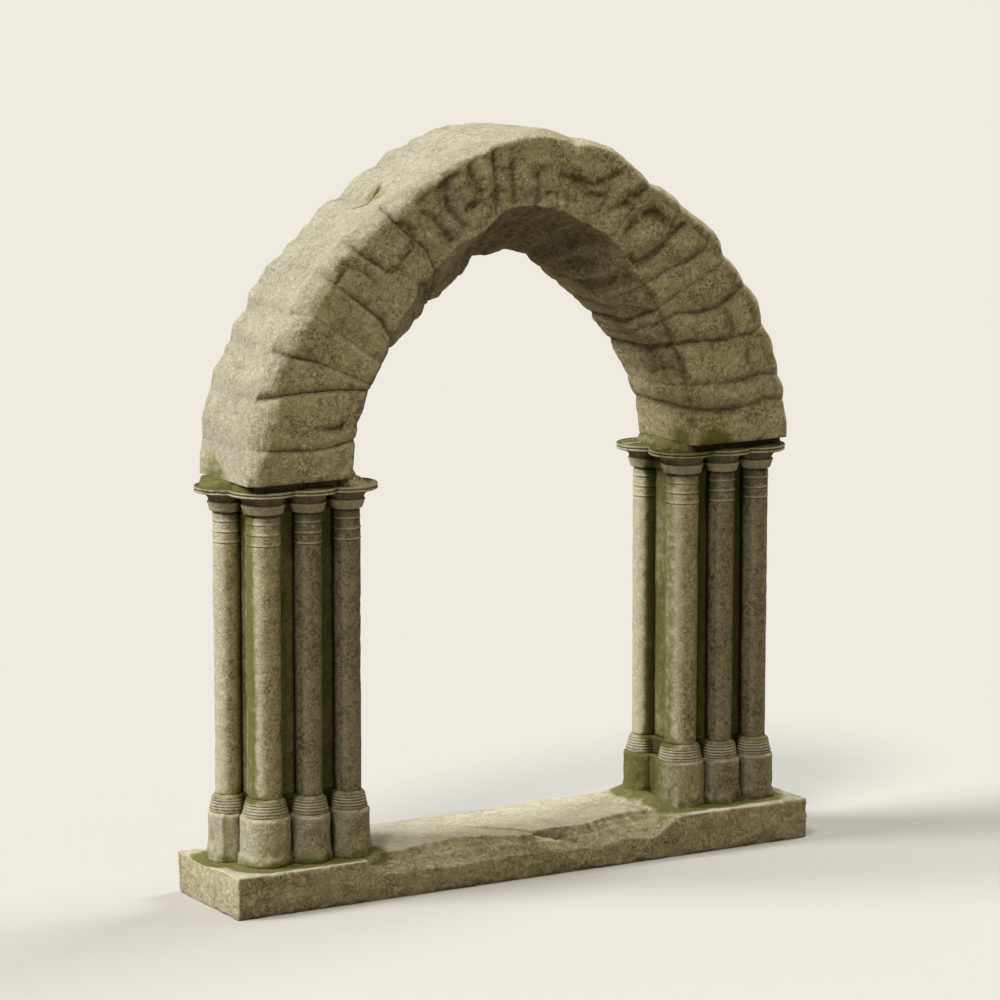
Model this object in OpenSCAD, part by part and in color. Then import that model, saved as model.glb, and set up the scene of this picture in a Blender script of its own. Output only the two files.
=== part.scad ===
// Weathered stone arch: a sill slab, two piers of clustered shafts and a round arch ring.
// Origin at the middle of the sill's underside, +X to the right, +Y to the back, +Z up. Millimetres.

/* [Sill] */
// Length of the sill slab
sill_length = 3000; // [2960:10:3200]
// Depth of the sill slab, front to back
sill_depth = 600; // [600:10:700]
// Thickness of the sill slab
sill_height = 190; // [130:5:260]
// Height of the worn bevel along the front arris of the sill
sill_wear_height = 70; // [40:5:110]
// How far the worn bevel eats back into the top of the sill
sill_wear_depth = 95; // [20:5:120]
// How far the worn bevel stops short of the socles of the piers
sill_wear_stop = 40; // [20:5:150]

/* [Pier plan] */
// Distance of the left pier's big corner shaft from the centre line
left_corner_x = 1251; // [1230:1:1255]
// Distance of the right pier's big corner shaft from the centre line
right_corner_x = 926; // [910:1:940]
// Spacing of the front shafts of the left pier
left_pitch = 196; // [185:1:205]
// Spacing of the front shafts of the right pier
right_pitch = 187; // [180:1:195]
// Distance of the big corner shafts in front of the centre line
corner_front = 85; // [75:1:95]
// Distance of the small shafts in front of and behind the centre line
row_offset = 128; // [120:1:135]
// How far the left pier's end shaft stands outside its corner shaft
left_end_out = 103; // [95:1:106]
// How far the left pier's end shaft stands behind the centre line
left_end_back = 71; // [66:1:90]
// How far the right pier's end shaft stands outside its corner shaft
right_end_out = 44; // [35:1:60]
// How far the right pier's end shaft stands behind the centre line
right_end_back = 158; // [145:1:158]
// How far the core wall runs past the corner shaft's centre
core_past_corner = 50; // [40:1:60]
// How far the core wall runs past the last shaft's centre
core_past_last = 20; // [5:1:40]
// Half depth of the core wall
core_half_depth = 95; // [85:1:105]
// Mortar gap between the core wall and the shafts
shaft_gap = 1; // [0.5:0.5:3]

/* [Shafts] */
// Radius of the small shafts
small_r = 61; // [55:1:64]
// Radius of the big corner shafts
big_r = 77; // [70:1:82]
// Height of the shafts
shaft_height = 1276; // [1000:10:1500]
// Depth of the groove where a shaft meets its capital
neck_groove = 5; // [2:1:8]
// Height of that groove
neck_groove_height = 9; // [6:1:15]
// How far the thin neck rings stand out from a shaft
neck_ring_out = 2.5; // [1:0.5:4]
// Height of each thin neck ring
neck_ring_height = 5; // [3:1:10]
// Spacing of the thin neck rings
neck_ring_pitch = 47; // [30:1:60]
// Distance from the top of a shaft to its first neck ring
neck_ring_first = 45; // [30:1:60]
// Number of thin neck rings
neck_rings = 3; // [1:1:4]

/* [Bases] */
// Height of the lobed socles
socle_height = 217; // [150:1:280]
// Radius of the socle drum under a small shaft
small_drum_r = 97; // [92:1:100]
// Radius of the socle drum under a big shaft
big_drum_r = 115; // [110:1:120]
// Bevel round the top of the socle drums
drum_bevel = 10; // [4:1:14]
// How far the web of a socle stands out from the core wall
web_out = 22; // [10:1:30]
// Height of the moulded base course
base_height = 80; // [60:1:110]
// How far the lowest base ring stands out from its shaft
base_ring_out = 24; // [16:1:28]
// How far the highest base ring stands out from its shaft
base_ring_top_out = 16; // [10:1:20]
// Number of rings round each base
base_rings = 4; // [3:1:5]
// Height of the shoulder under the base rings
base_shoulder = 14; // [8:1:20]
// Depth of the grooves between the base rings
base_groove = 4; // [2:1:6]

/* [Capitals] */
// Height of the capital block
capital_height = 85; // [70:1:110]
// How far a bell stands out from its shaft at its foot
bell_foot_out = 12; // [6:1:22]
// How far a bell stands out from its shaft below the cove
bell_top_out = 27; // [24:1:35]
// Height of the cove between a bell and the abacus
cove_height = 24; // [15:1:35]
// How far the abacus rim stands out from a shaft
rim_out = 80; // [70:1:81]
// Height of the abacus rim
rim_height = 27; // [20:1:40]
// Depth of the groove between the rim's two fillets
rim_groove = 5; // [2:1:8]
// Height of the raised seat under the arch
seat_height = 33; // [15:1:50]
// How far the seat is set back under the arch faces
seat_inset = 42; // [20:1:70]

/* [Arch ring] */
// Radius of the arch's inner face
ring_inner = 880; // [860:5:900]
// Radius of the arch's outer face at the sides
ring_outer = 1388; // [1350:2:1400]
// Depth of the arch ring, front to back
ring_depth = 492; // [440:2:520]
// How much the outer face rises at the crown
crown_rise = 106; // [0:2:140]
// Angle either side of the crown over which the outer face rises
crown_half_angle = 29; // [20:1:40]
// How far the lower front edge of the crown stones is broken away
crown_wear = 270; // [0:5:290]
// Bevel of the worn outer arrises
outer_bevel = 55; // [20:1:75]
// Bevel of the inner arrises
inner_bevel = 18; // [8:1:40]

/* [Hidden] */
$fn = 48;
RIGHT = 1;
LEFT = -1;
eps = 0.01;
station_angle = 4;
// Each joint runs straight from its angle at the outer face to its angle at the inner face.
left_joints = [[180, 180], [173.5, 170.5], [164.5, 156.5], [155, 152.5], [146.5, 146], [138.5, 138],
    [130, 127], [121, 117], [111.5, 109.5], [103, 102], [96, 96]];
right_joints = [[0, 0], [7.5, 12.5], [11.5, 18.5], [22, 31], [31, 38], [38.5, 45], [46, 52],
    [53.5, 60], [61.5, 67], [71, 74], [80, 81], [88, 88]];
// Share of the crown wear that is gone at an angle.
wear_profile = [[15, 0], [35, 0.15], [60, 0.55], [68, 0.78], [80, 0.96], [94, 1], [99, 0.67],
    [108, 0.48], [118, 0.3], [128, 0.15], [145, 0]];
socle_z = sill_height;
base_z = socle_z + socle_height;
shaft_z = base_z + base_height;
capital_z = shaft_z + shaft_height;
rim_z = capital_z + capital_height;
seat_z = rim_z + rim_height;
spring_z = seat_z + seat_height;
left_voussoirs = len(left_joints) - 2;
right_voussoirs = len(right_joints) - 2;
pier_nodes = ["socle", "base_course", "core", "corner_shaft", "front_shaft_1", "front_shaft_2",
    "end_shaft", "rear_shaft_1", "rear_shaft_2", "capital", "abacus"];

// Plan of a pier: the big corner shaft, two more along the front, the end shaft and two at the back.
function corner_place(side) = [side < 0 ? -left_corner_x : right_corner_x, -corner_front];
function pitch(side) = side < 0 ? left_pitch : right_pitch;
function front_place(side, i) = [corner_place(side)[0] + i * pitch(side), -row_offset];
function end_out(side) = side < 0 ? left_end_out : right_end_out;
function end_back(side) = side < 0 ? left_end_back : right_end_back;
function end_place(side) = [corner_place(side)[0] - end_out(side), end_back(side)];
function rear_pitch(side) = (front_place(side, 2)[0] - end_place(side)[0]) / 2;
function rear_place(side, i) = [end_place(side)[0] + i * rear_pitch(side), row_offset];
function small_places(side) = [front_place(side, 1), front_place(side, 2), end_place(side),
    rear_place(side, 1), rear_place(side, 2)];
function places(side) = concat([corner_place(side)], small_places(side));
function radius(i) = i == 0 ? big_r : small_r;
function drum_radius(i) = i == 0 ? big_drum_r : small_drum_r;
// The left pier's end drum is cut eight-sided, and the others are round.
function drum_sides(side, i) = side < 0 && i == 3 ? 8 : $fn;

// Outer radius of the ring at an angle, and how far its front inner edge is worn away there.
function outer_r(a) = ring_outer + crown_rise * max(0, 1 - abs(a - 90) / crown_half_angle);
function wear(a) = crown_wear * lookup(a, wear_profile);

// A joint's line from the inner to the outer face, and the bevelled outline of the stones there.
function ray(r, a) = [r * cos(a), r * sin(a)];
function joint_inner(j) = ray(ring_inner, j[1]);
function joint_outer(j) = ray(outer_r(j[0]), j[0]);
function outline(j) = let (
    inner = joint_inner(j), outer = joint_outer(j), t = norm(outer - inner),
    h = ring_depth / 2, b = outer_bevel, c = inner_bevel, w = wear(j[1]),
    profile = [[w + c, -h], [t - b, -h], [t, b - h], [t, h - b], [t - b, h], [c, h], [0, h - c], [w, c - h]])
    [for (p = profile) let (q = inner + (outer - inner) * p[0] / t) [q[0], p[1], spring_z + q[1]]];

module core_plan(side, grow) {
    x0 = corner_place(side)[0] - core_past_corner - grow;
    x1 = front_place(side, 2)[0] + core_past_last + grow;
    translate([x0, -core_half_depth - grow])
        square([x1 - x0, 2 * (core_half_depth + grow)]);
}

module sill() {
    wear_x0 = front_place(LEFT, 2)[0] + small_drum_r + sill_wear_stop;
    wear_x1 = corner_place(RIGHT)[0] - big_drum_r - sill_wear_stop;
    wear_angle = atan(sill_wear_depth / sill_wear_height);
    color("#a89a72")
        difference() {
            translate([-sill_length / 2, -sill_depth / 2, 0])
                cube([sill_length, sill_depth, sill_height]);
            translate([wear_x0, -sill_depth / 2, sill_height - sill_wear_height])
                rotate([-wear_angle, 0, 0])
                    translate([0, -sill_height, -eps])
                        cube([wear_x1 - wear_x0, sill_height, 2 * sill_height]);
        }
}

module drum(r, sides) {
    cylinder(r = r, h = socle_height - drum_bevel, $fn = sides);
    translate([0, 0, socle_height - drum_bevel])
        cylinder(r1 = r, r2 = r - drum_bevel, h = drum_bevel, $fn = sides);
}

module socle(side) {
    color("#9d8f69")
        translate([0, 0, socle_z]) {
            linear_extrude(socle_height) core_plan(side, web_out);
            for (i = [0:5])
                translate(places(side)[i]) drum(drum_radius(i), drum_sides(side, i));
        }
}

// One turned base: rings above a sloping shoulder, widening downwards.
module base_rings_of(r, foot_r) {
    ring_h = (base_height - base_shoulder) / (base_rings + 1);
    function out(k) = base_ring_out + (base_ring_top_out - base_ring_out) * k / (base_rings - 1);
    rings = [for (k = [0:base_rings - 1], p = [
        [r + out(k) - base_groove, k * ring_h],
        [r + out(k), (k + 0.25) * ring_h],
        [r + out(k), (k + 0.75) * ring_h]]) [p[0], base_shoulder + p[1]]];
    rotate_extrude()
        polygon(concat([[0, 0], [foot_r, 0]], rings,
            [[r + base_ring_top_out - base_groove, base_height - ring_h], [r, base_height], [0, base_height]]));
}

module base_course(side) {
    color("#a3956d")
        translate([0, 0, base_z]) {
            linear_extrude(base_height) core_plan(side, 0);
            for (i = [0:5])
                translate(places(side)[i])
                    base_rings_of(radius(i), drum_radius(i) - drum_bevel);
        }
}

module core(side) {
    color("#77713f")
        translate([0, 0, shaft_z])
            linear_extrude(shaft_height)
                difference() {
                    core_plan(side, 0);
                    for (i = [0:5])
                        translate(places(side)[i]) circle(r = radius(i) + shaft_gap);
                }
}

module shaft(side, i) {
    r = radius(i);
    full = shaft_height - neck_groove_height;
    color("#a09370")
        translate([places(side)[i][0], places(side)[i][1], shaft_z]) {
            cylinder(r = r, h = full);
            cylinder(r = r - neck_groove, h = shaft_height);
            for (k = [0:neck_rings - 1])
                translate([0, 0, shaft_height - neck_ring_first - k * neck_ring_pitch])
                    cylinder(r = r + neck_ring_out, h = neck_ring_height);
        }
}

// One bell: it flares gently, then a quarter-round cove carries the abacus.
module bell(r) {
    bell_top = capital_height - cove_height;
    cove_out = rim_out - rim_groove - bell_top_out;
    cove = [for (a = [0:15:90]) [
        r + bell_top_out + cove_out * (1 - cos(a)),
        bell_top + cove_height * sin(a)]];
    rotate_extrude()
        polygon(concat([[0, 0], [r + bell_foot_out, 0]], cove, [[0, capital_height]]));
}

module capital(side) {
    color("#a89b75")
        translate([0, 0, capital_z]) {
            linear_extrude(capital_height) core_plan(side, 0);
            for (i = [0:5])
                translate(places(side)[i]) bell(radius(i));
        }
}

module rim_lobe(r) {
    fillet = rim_height / 3;
    cylinder(r = r, h = fillet);
    cylinder(r = r - rim_groove, h = 2 * fillet);
    translate([0, 0, fillet + rim_groove])
        cylinder(r = r - rim_groove / 2, h = rim_height - fillet - rim_groove);
}

module abacus(side) {
    seat_x0 = ring_inner + seat_inset;
    seat_x1 = ring_outer - seat_inset;
    color("#8c8450") {
        translate([0, 0, rim_z]) {
            linear_extrude(rim_height) core_plan(side, web_out);
            for (i = [0:5])
                translate(places(side)[i]) rim_lobe(radius(i) + rim_out);
        }
        translate([side < 0 ? -seat_x1 : seat_x0, seat_inset - ring_depth / 2, seat_z])
            cube([seat_x1 - seat_x0, ring_depth - 2 * seat_inset, seat_height]);
    }
}

// A wedge stone between two joints, swept along the ring's curve.
module voussoir(first, last) {
    low = first[0] < last[0] ? first : last;
    high = first[0] < last[0] ? last : first;
    spans = max(1, round((high[0] - low[0]) / station_angle));
    points = [for (k = [0:spans], p = outline(low + (high - low) * k / spans)) p];
    m = 8;
    sides = [for (k = [0:spans - 1], j = [0:m - 1], f = [
        [k * m + j, (k + 1) * m + j, (k + 1) * m + (j + 1) % m],
        [k * m + j, (k + 1) * m + (j + 1) % m, k * m + (j + 1) % m]]) f];
    start = [for (j = [0:m - 1]) j];
    finish = [for (j = [m - 1:-1:0]) spans * m + j];
    color("#ab9e78")
        polyhedron(points = points, faces = concat([start, finish], sides), convexity = 4);
}

sill();
for (s = [["left_", LEFT], ["right_", RIGHT]]) {
    socle(s[1]);
    base_course(s[1]);
    core(s[1]);
    shaft(s[1], 0);
    shaft(s[1], 1);
    shaft(s[1], 2);
    shaft(s[1], 3);
    shaft(s[1], 4);
    shaft(s[1], 5);
    capital(s[1]);
    abacus(s[1]);
}
voussoir(left_joints[0], left_joints[1]);  // left_springer
for (i = [1:left_voussoirs])
    voussoir(left_joints[i], left_joints[i + 1]);
voussoir(left_joints[left_voussoirs + 1], right_joints[right_voussoirs + 1]);  // keystone
for (i = [1:right_voussoirs])
    voussoir(right_joints[i], right_joints[i + 1]);
voussoir(right_joints[0], right_joints[1]);  // right_springer
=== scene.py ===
import itertools
import math

import bmesh
import bpy
import numpy as np
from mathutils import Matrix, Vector


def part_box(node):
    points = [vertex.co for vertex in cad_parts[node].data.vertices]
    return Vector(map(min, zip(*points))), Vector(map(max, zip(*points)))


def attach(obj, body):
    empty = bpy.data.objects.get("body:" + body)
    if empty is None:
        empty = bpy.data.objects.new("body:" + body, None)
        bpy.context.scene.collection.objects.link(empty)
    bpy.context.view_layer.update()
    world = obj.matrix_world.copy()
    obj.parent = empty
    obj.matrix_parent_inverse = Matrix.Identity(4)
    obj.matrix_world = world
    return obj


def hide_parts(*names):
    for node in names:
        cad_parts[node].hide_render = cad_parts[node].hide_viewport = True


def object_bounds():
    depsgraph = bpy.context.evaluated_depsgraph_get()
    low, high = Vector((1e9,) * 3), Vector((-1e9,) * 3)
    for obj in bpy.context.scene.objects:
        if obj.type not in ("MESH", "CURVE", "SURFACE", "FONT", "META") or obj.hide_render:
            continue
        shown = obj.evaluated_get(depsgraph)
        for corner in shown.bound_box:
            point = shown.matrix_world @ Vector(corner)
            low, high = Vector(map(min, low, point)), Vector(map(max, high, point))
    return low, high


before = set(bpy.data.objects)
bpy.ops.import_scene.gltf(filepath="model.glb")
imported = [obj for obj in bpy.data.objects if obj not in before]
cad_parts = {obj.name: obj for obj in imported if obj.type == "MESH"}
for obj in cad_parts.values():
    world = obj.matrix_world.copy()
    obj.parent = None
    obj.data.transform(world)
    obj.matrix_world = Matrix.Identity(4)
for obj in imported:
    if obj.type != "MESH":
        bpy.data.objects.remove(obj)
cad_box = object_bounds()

# Metres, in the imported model's frame. The arch's front is at -Y.

# ---------------------------------------------------------------- sizes
SPRING_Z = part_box("left_springer")[0].z
RING_OUTER = -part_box("left_springer")[0].x
RING_INNER = 0.880
RING_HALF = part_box("keystone")[1].y
CROWN_RISE = 0.106
CROWN_HALF_ANGLE = 29.0
# Angles on the ring: 0 is the right springing, 90 the crown, 180 the left springing.
LEFT_HALF_FROM = 97
RIGHT_HAUNCH_TO = 66
INNER_BEVEL = 0.007
REAR_BEVEL = 0.012
TOP_LIMIT = cad_box[1][2] - 0.0005
SEAT_INSET = 0.042

SILL_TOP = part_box("sill")[1].z
SOCLE_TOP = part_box("left_socle")[1].z
BASE_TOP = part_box("left_base_course")[1].z
SHAFT_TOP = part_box("left_corner_shaft")[1].z
CAPITAL_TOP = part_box("left_capital")[1].z
RIM_HEIGHT = 0.027
CORE_HALF = 0.095
NECK_RING_OUT = 0.0025
FIRST_NECK_RING = 0.045
NECK_RING_GAP = 0.047
SHAFT_CLEARANCE = 0.004
SCOOP_KEPT = 0.02
SHAFT_NAMES = ["corner_shaft", "front_shaft_1", "front_shaft_2",
               "end_shaft", "rear_shaft_1", "rear_shaft_2"]
FRONT_ROW = slice(1, 3)
END_SHAFT = SHAFT_NAMES.index("end_shaft")
SIDES = ("left_", "right_")
# The ring's tables give millimetres.
MM = 1000

# Lengths of the small faces that the stones are cut into, and the sides of the turned work.
SHAFT_FACE, SHAFT_SIDES = 0.0105, 52
CARVED_FACE, BELL_SIDES, BASE_SIDES = 0.008, 56, 60
DRUM_FACE, DRUM_SIDES = 0.009, 72
EIGHT_SIDED_FACE, EIGHT_SIDED_CUTS = 0.010, 7
WALL_FACE = 0.014
WEB_FACE = 0.012
CORE_FACE = 0.011
SILL_FACE = 0.0088


# ---------------------------------------------------------------- small tools
def reading(table, x):
    """Reads a short table of (place, amount) rows along straight lines."""
    places, amounts = zip(*table)
    return np.interp(x, places, amounts)


def ease(x, run=1.0):
    """A soft step from 0 to 1 over a run."""
    x = np.clip(x / run, 0.0, 1.0)
    return x * x * (3 - 2 * x)


def hump(far, width):
    """1 at no distance, falling to nothing over about two widths."""
    return np.exp(-(far / width) ** 2)


def lumps(points, size, seed):
    """Smooth heights between -1 and 1 that change over about one size."""
    lattice = np.random.default_rng(seed).uniform(-1, 1, (32, 32, 32))
    p = points / size + 0.37 * seed
    cell = np.floor(p).astype(int)
    f = ease(p - cell)
    total = np.zeros(len(points))
    for corner in itertools.product((0, 1), repeat=3):
        wx, wy, wz = np.where(corner, f, 1 - f).T
        total += wx * wy * wz * lattice[tuple((cell + corner).T % 32)]
    return total


def weathering(points, coarse, fine, seed):
    """Heights of a weathered stone face: long swells, lumps and small pits."""
    swell = coarse * (lumps(points, 0.21, seed) + 0.6 * lumps(points, 0.095, seed + 1))
    chips = fine * (lumps(points, 0.042, seed + 2) + 0.6 * lumps(points, 0.020, seed + 3))
    pits = -2.2 * fine * ease(lumps(points, 0.030, seed + 4) - 0.45, 0.3)
    return swell + chips + pits


def far_from_line(x, z, line):
    """Shortest distance from each point to a line of straight runs."""
    nearest = np.full(len(x), 9.0)
    for (x0, z0), (x1, z1) in zip(line, line[1:]):
        ux, uz = x1 - x0, z1 - z0
        run = max(ux * ux + uz * uz, 1e-9)
        f = np.clip(((x - x0) * ux + (z - z0) * uz) / run, 0, 1)
        nearest = np.minimum(nearest, np.hypot(x - x0 - f * ux, z - z0 - f * uz))
    return nearest


def distances(x, y, circles):
    """How far each point stands outside each circle, seen from above; one row for each circle."""
    return np.array([np.hypot(x - cx, y - cy) - r for cx, cy, r in circles])


# ---------------------------------------------------------------- stone finishes
class Finish:
    """A material with short ways to add its nodes; each gives the socket that carries its result."""

    def __init__(self, name):
        self.material = bpy.data.materials.new(name)
        self.material.use_nodes = True
        self.tree = self.material.node_tree
        self.tree.nodes.clear()

    def add(self, kind, inputs=None, out=0, **settings):
        """A shader node with its settings and its inputs filled in or linked."""
        node = self.tree.nodes.new("ShaderNode" + kind)
        for key, value in settings.items():
            setattr(node, key, value)
        for key, value in (inputs or {}).items():
            if isinstance(value, bpy.types.NodeSocket):
                self.tree.links.new(value, node.inputs[key])
            else:
                node.inputs[key].default_value = value
        return node.outputs[out] if len(node.outputs) else None

    def noise(self, where, scale, detail=3.0, roughness=0.60, distortion=0.0):
        return self.add("TexNoise", {"Vector": where, "Scale": scale, "Detail": detail,
                                     "Roughness": roughness, "Distortion": distortion}, "Fac")

    def stretch(self, value, low, high, to_low=0.0, to_high=1.0):
        return self.add("MapRange", {"Value": value, "From Min": low, "From Max": high, "To Min": to_low,
                                     "To Max": to_high}, "Result", interpolation_type="SMOOTHSTEP")

    def mix(self, share, first, second, how="MIX"):
        first, second = ((*c, 1.0) if isinstance(c, tuple) else c for c in (first, second))
        return self.add("Mix", {0: share, 6: first, 7: second}, 2, data_type="RGBA", blend_type=how)

    def sum(self, how, first, second=0.0):
        return self.add("Math", {0: first, 1: second}, operation=how)

    def times(self, first, second):
        return self.sum("MULTIPLY", first, second)

    def thread(self, where, scale, distortion):
        """Thin winding lines: 1 on a line and 0 beside it."""
        off = self.sum("SUBTRACT", self.noise(where, scale, distortion=distortion), 0.5)
        return self.stretch(self.sum("ABSOLUTE", off), 0.0, 0.045, 1.0, 0.0)

    def mark(self, name):
        """A value painted on the piece's vertices."""
        return self.add("Attribute", None, "Fac", attribute_name=name, attribute_type="GEOMETRY")


VEIN = (0.66, 0.58, 0.37)
CREASE = (0.110, 0.088, 0.042)
GRIME_AND_SHADE = (0.085, 0.068, 0.032)
RUBBED_AND_LIT = (0.60, 0.56, 0.42)
# Paler, smoother colours for faces turned to the key lamp: painted light.
LIT_PALE = (0.480, 0.466, 0.372)
LIT_DARK = (0.288, 0.270, 0.186)
LIT_VEIN = (0.57, 0.55, 0.46)
MOSS = (0.160, 0.164, 0.018)
YOUNG_MOSS = (0.160 * 1.3, 0.164 * 1.28, 0.018 * 1.6)
THICK_MOSS = (0.104, 0.106, 0.011)
SHADED_MOSS = (0.028, 0.027, 0.008)


def limestone(name, pale, dark, mottle=52.0, lit_gain=1.0, draw=0.3, drips=0.30):
    """Weathered khaki limestone with mottling, streaks, pits, grime and painted shade in hollows, edges pale
    with wear and painted highlights, paler painted light on faces turned to the key lamp, and moss.
    """
    f = Finish(name)
    noise, stretch, mix, times = f.noise, f.stretch, f.mix, f.times
    hollow, key_lit, moss = f.mark("hollow"), f.mark("key_lit"), f.mark("moss")
    place = f.add("TexCoord", None, "Object")
    drawn = f.add("Mapping", {"Vector": place, "Scale": (1.0, 1.0, draw)}, "Vector")

    fields = noise(place, 8.5, 5.0, 0.62)
    grain = noise(place, 300.0, 2.0)
    holes = f.add("TexVoronoi", {"Vector": place, "Scale": 80.0}, "Distance", feature="F1")
    curl = f.thread(place, 46.0, 1.8)
    vein = f.thread(place, 62.0, 1.4)
    spots = stretch(noise(place, mottle, 5.0, 0.70, 1.1), 0.41, 0.63)
    spots = times(spots, stretch(fields, 0.36, 0.64, 0.50, 1.0))

    body = mix(spots, pale, dark)
    body = mix(times(vein, 0.56), body, VEIN)
    body = mix(stretch(noise(drawn, 30.0, 4.0), 0.50, 0.72, 0.0, drips), body, dark)
    # Painted light: faces turned to the key lamp take the paler copy of the stone.
    lit_body = mix(stretch(spots, 0.0, 1.0, 0.0, 0.50), tuple(lit_gain * c for c in LIT_PALE),
                tuple(lit_gain * c for c in LIT_DARK))
    lit_body = mix(times(vein, 0.25), lit_body, LIT_VEIN)
    body = mix(times(key_lit, 0.85), body, lit_body)
    creased = times(curl, stretch(fields, 0.42, 0.60, 0.16, 0.46))
    # Fewer creases show where the painted light is.
    creased = times(creased, stretch(key_lit, 0.0, 1.0, 1.0, 0.45))
    body = mix(creased, body, CREASE)
    speckle = stretch(grain, 0.30, 0.70, 0.74, 1.20)
    speckle = f.add("CombineColor", {0: speckle, 1: speckle, 2: speckle})
    body = mix(1.0, body, speckle, "MULTIPLY")
    # Grime and painted shade in the hollows, joints and recesses.
    body = mix(times(hollow, stretch(spots, 0.0, 1.0, 0.72, 1.0)), body, GRIME_AND_SHADE)
    # Pale worn edges and painted highlights.
    body = mix(times(f.mark("arris"), 0.72), body, RUBBED_AND_LIT)

    growth = f.sum("ADD", moss, stretch(noise(place, 26.0, 5.0, 0.65), 0.3, 0.7, -0.25, 0.25))
    growth = stretch(growth, 0.22, 0.95, 0.0, 0.94)
    green = mix(stretch(noise(place, 60.0), 0.35, 0.65), MOSS, YOUNG_MOSS)
    green = mix(0.18, green, body)
    green = mix(stretch(moss, 0.62, 1.0, 0.0, 0.75), green, THICK_MOSS)
    # Painted shade darkens the moss in the hollows.
    green = mix(times(hollow, 0.80), green, SHADED_MOSS)
    body = mix(growth, body, green)

    relief = f.sum("ADD", times(stretch(holes, 0.10, 0.34), 0.40), times(grain, 0.35))
    relief = f.sum("SUBTRACT", relief, times(spots, 0.45))
    relief = f.sum("SUBTRACT", relief, times(curl, 0.45))
    bump = f.add("Bump", {"Height": relief, "Strength": 0.90, "Distance": 0.0036}, "Normal")
    shader = f.add("BsdfPrincipled", {"Base Color": body, "Roughness": stretch(grain, 0.2, 0.8, 0.80, 0.96),
                                      "Normal": bump, "Specular IOR Level": 0.25})
    f.add("OutputMaterial", {"Surface": shader})
    return f.material


RING_STONE = limestone("ring_limestone", (0.500, 0.436, 0.256), (0.130, 0.104, 0.044), lit_gain=0.98)
SHAFT_STONE = limestone("shaft_limestone", (0.470, 0.410, 0.240), (0.135, 0.112, 0.053), mottle=44.0,
                        lit_gain=1.12, draw=2.4, drips=0.40)
CARVED_STONE = limestone("carved_limestone", (0.470, 0.412, 0.240), (0.145, 0.120, 0.058), mottle=60.0)
SILL_STONE = limestone("sill_limestone", (0.480, 0.425, 0.256), (0.140, 0.116, 0.056), mottle=46.0, lit_gain=1.32)
CORE_STONE = limestone("core_rubble", (0.270, 0.262, 0.112), (0.120, 0.114, 0.042), mottle=40.0)


# ---------------------------------------------------------------- finishing a piece
def tube_of(columns, rows):
    """A grid rolled into a closed tube and filled at both ends; vertices keep their column and row."""
    bm = bmesh.new()
    bmesh.ops.create_grid(bm, x_segments=columns, y_segments=rows - 1, size=1.0)
    column = bm.verts.layers.int.new("column")
    row = bm.verts.layers.int.new("row")
    at = {}
    for v in bm.verts:
        v[column] = round((v.co.x + 1) / 2 * columns)
        v[row] = round((v.co.y + 1) / 2 * (rows - 1))
        at[v[column], v[row]] = v
    bmesh.ops.weld_verts(bm, targetmap={at[columns, j]: at[0, j] for j in range(rows)})
    for end in (0, rows - 1):
        rim = [e for e in bm.edges if e.is_boundary and all(v[row] == end for v in e.verts)]
        bmesh.ops.edgeloop_fill(bm, edges=rim)
        for e in rim:
            e.smooth = False
    return bm, column, row


def vectors(collection, name):
    flat = np.empty(len(collection) * 3)
    collection.foreach_get(name, flat)
    return flat.reshape(-1, 3)


class Surface:
    """The places and normals of a mesh's vertices."""

    def __init__(self, mesh):
        self.p = vectors(mesh.vertices, "co")
        self.n = vectors(mesh.vertices, "normal")
        self.x, self.y, self.z = self.p.T
        self.nx, self.ny, self.nz = self.n.T

    def lumps(self, size, seed):
        return lumps(self.p, size, seed)

    def moved(self, rise):
        """The places after a move along the normals."""
        return self.p + self.n * rise[:, None]


def concavity(mesh, s):
    """How hollow (+) or proud (-) the surface is at each vertex."""
    edges = np.empty(len(mesh.edges) * 2, dtype=np.int64)
    mesh.edges.foreach_get("vertices", edges)
    a, b = edges[0::2], edges[1::2]
    n = len(s.p)

    def gathered(at_a, at_b):
        return np.bincount(a, at_b, n) + np.bincount(b, at_a, n)

    count = np.maximum(np.bincount(a, minlength=n) + np.bincount(b, minlength=n), 1)
    mean = np.stack([gathered(line[a], line[b]) for line in s.p.T], axis=1) / count[:, None]
    reach = np.linalg.norm(s.p[a] - s.p[b], axis=1)
    reach = gathered(reach, reach) / count
    bent = np.einsum("ij,ij->i", mean - s.p, s.n) / np.maximum(reach, 1e-6)
    for _ in range(2):
        bent = 0.5 * bent + 0.5 * gathered(bent[a], bent[b]) / count
    return bent


def outward(bm):
    """Turns the faces of one closed shell outward."""
    bmesh.ops.recalc_face_normals(bm, faces=bm.faces)
    if bm.calc_volume(signed=True) < 0:
        bmesh.ops.reverse_faces(bm, faces=bm.faces)


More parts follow.
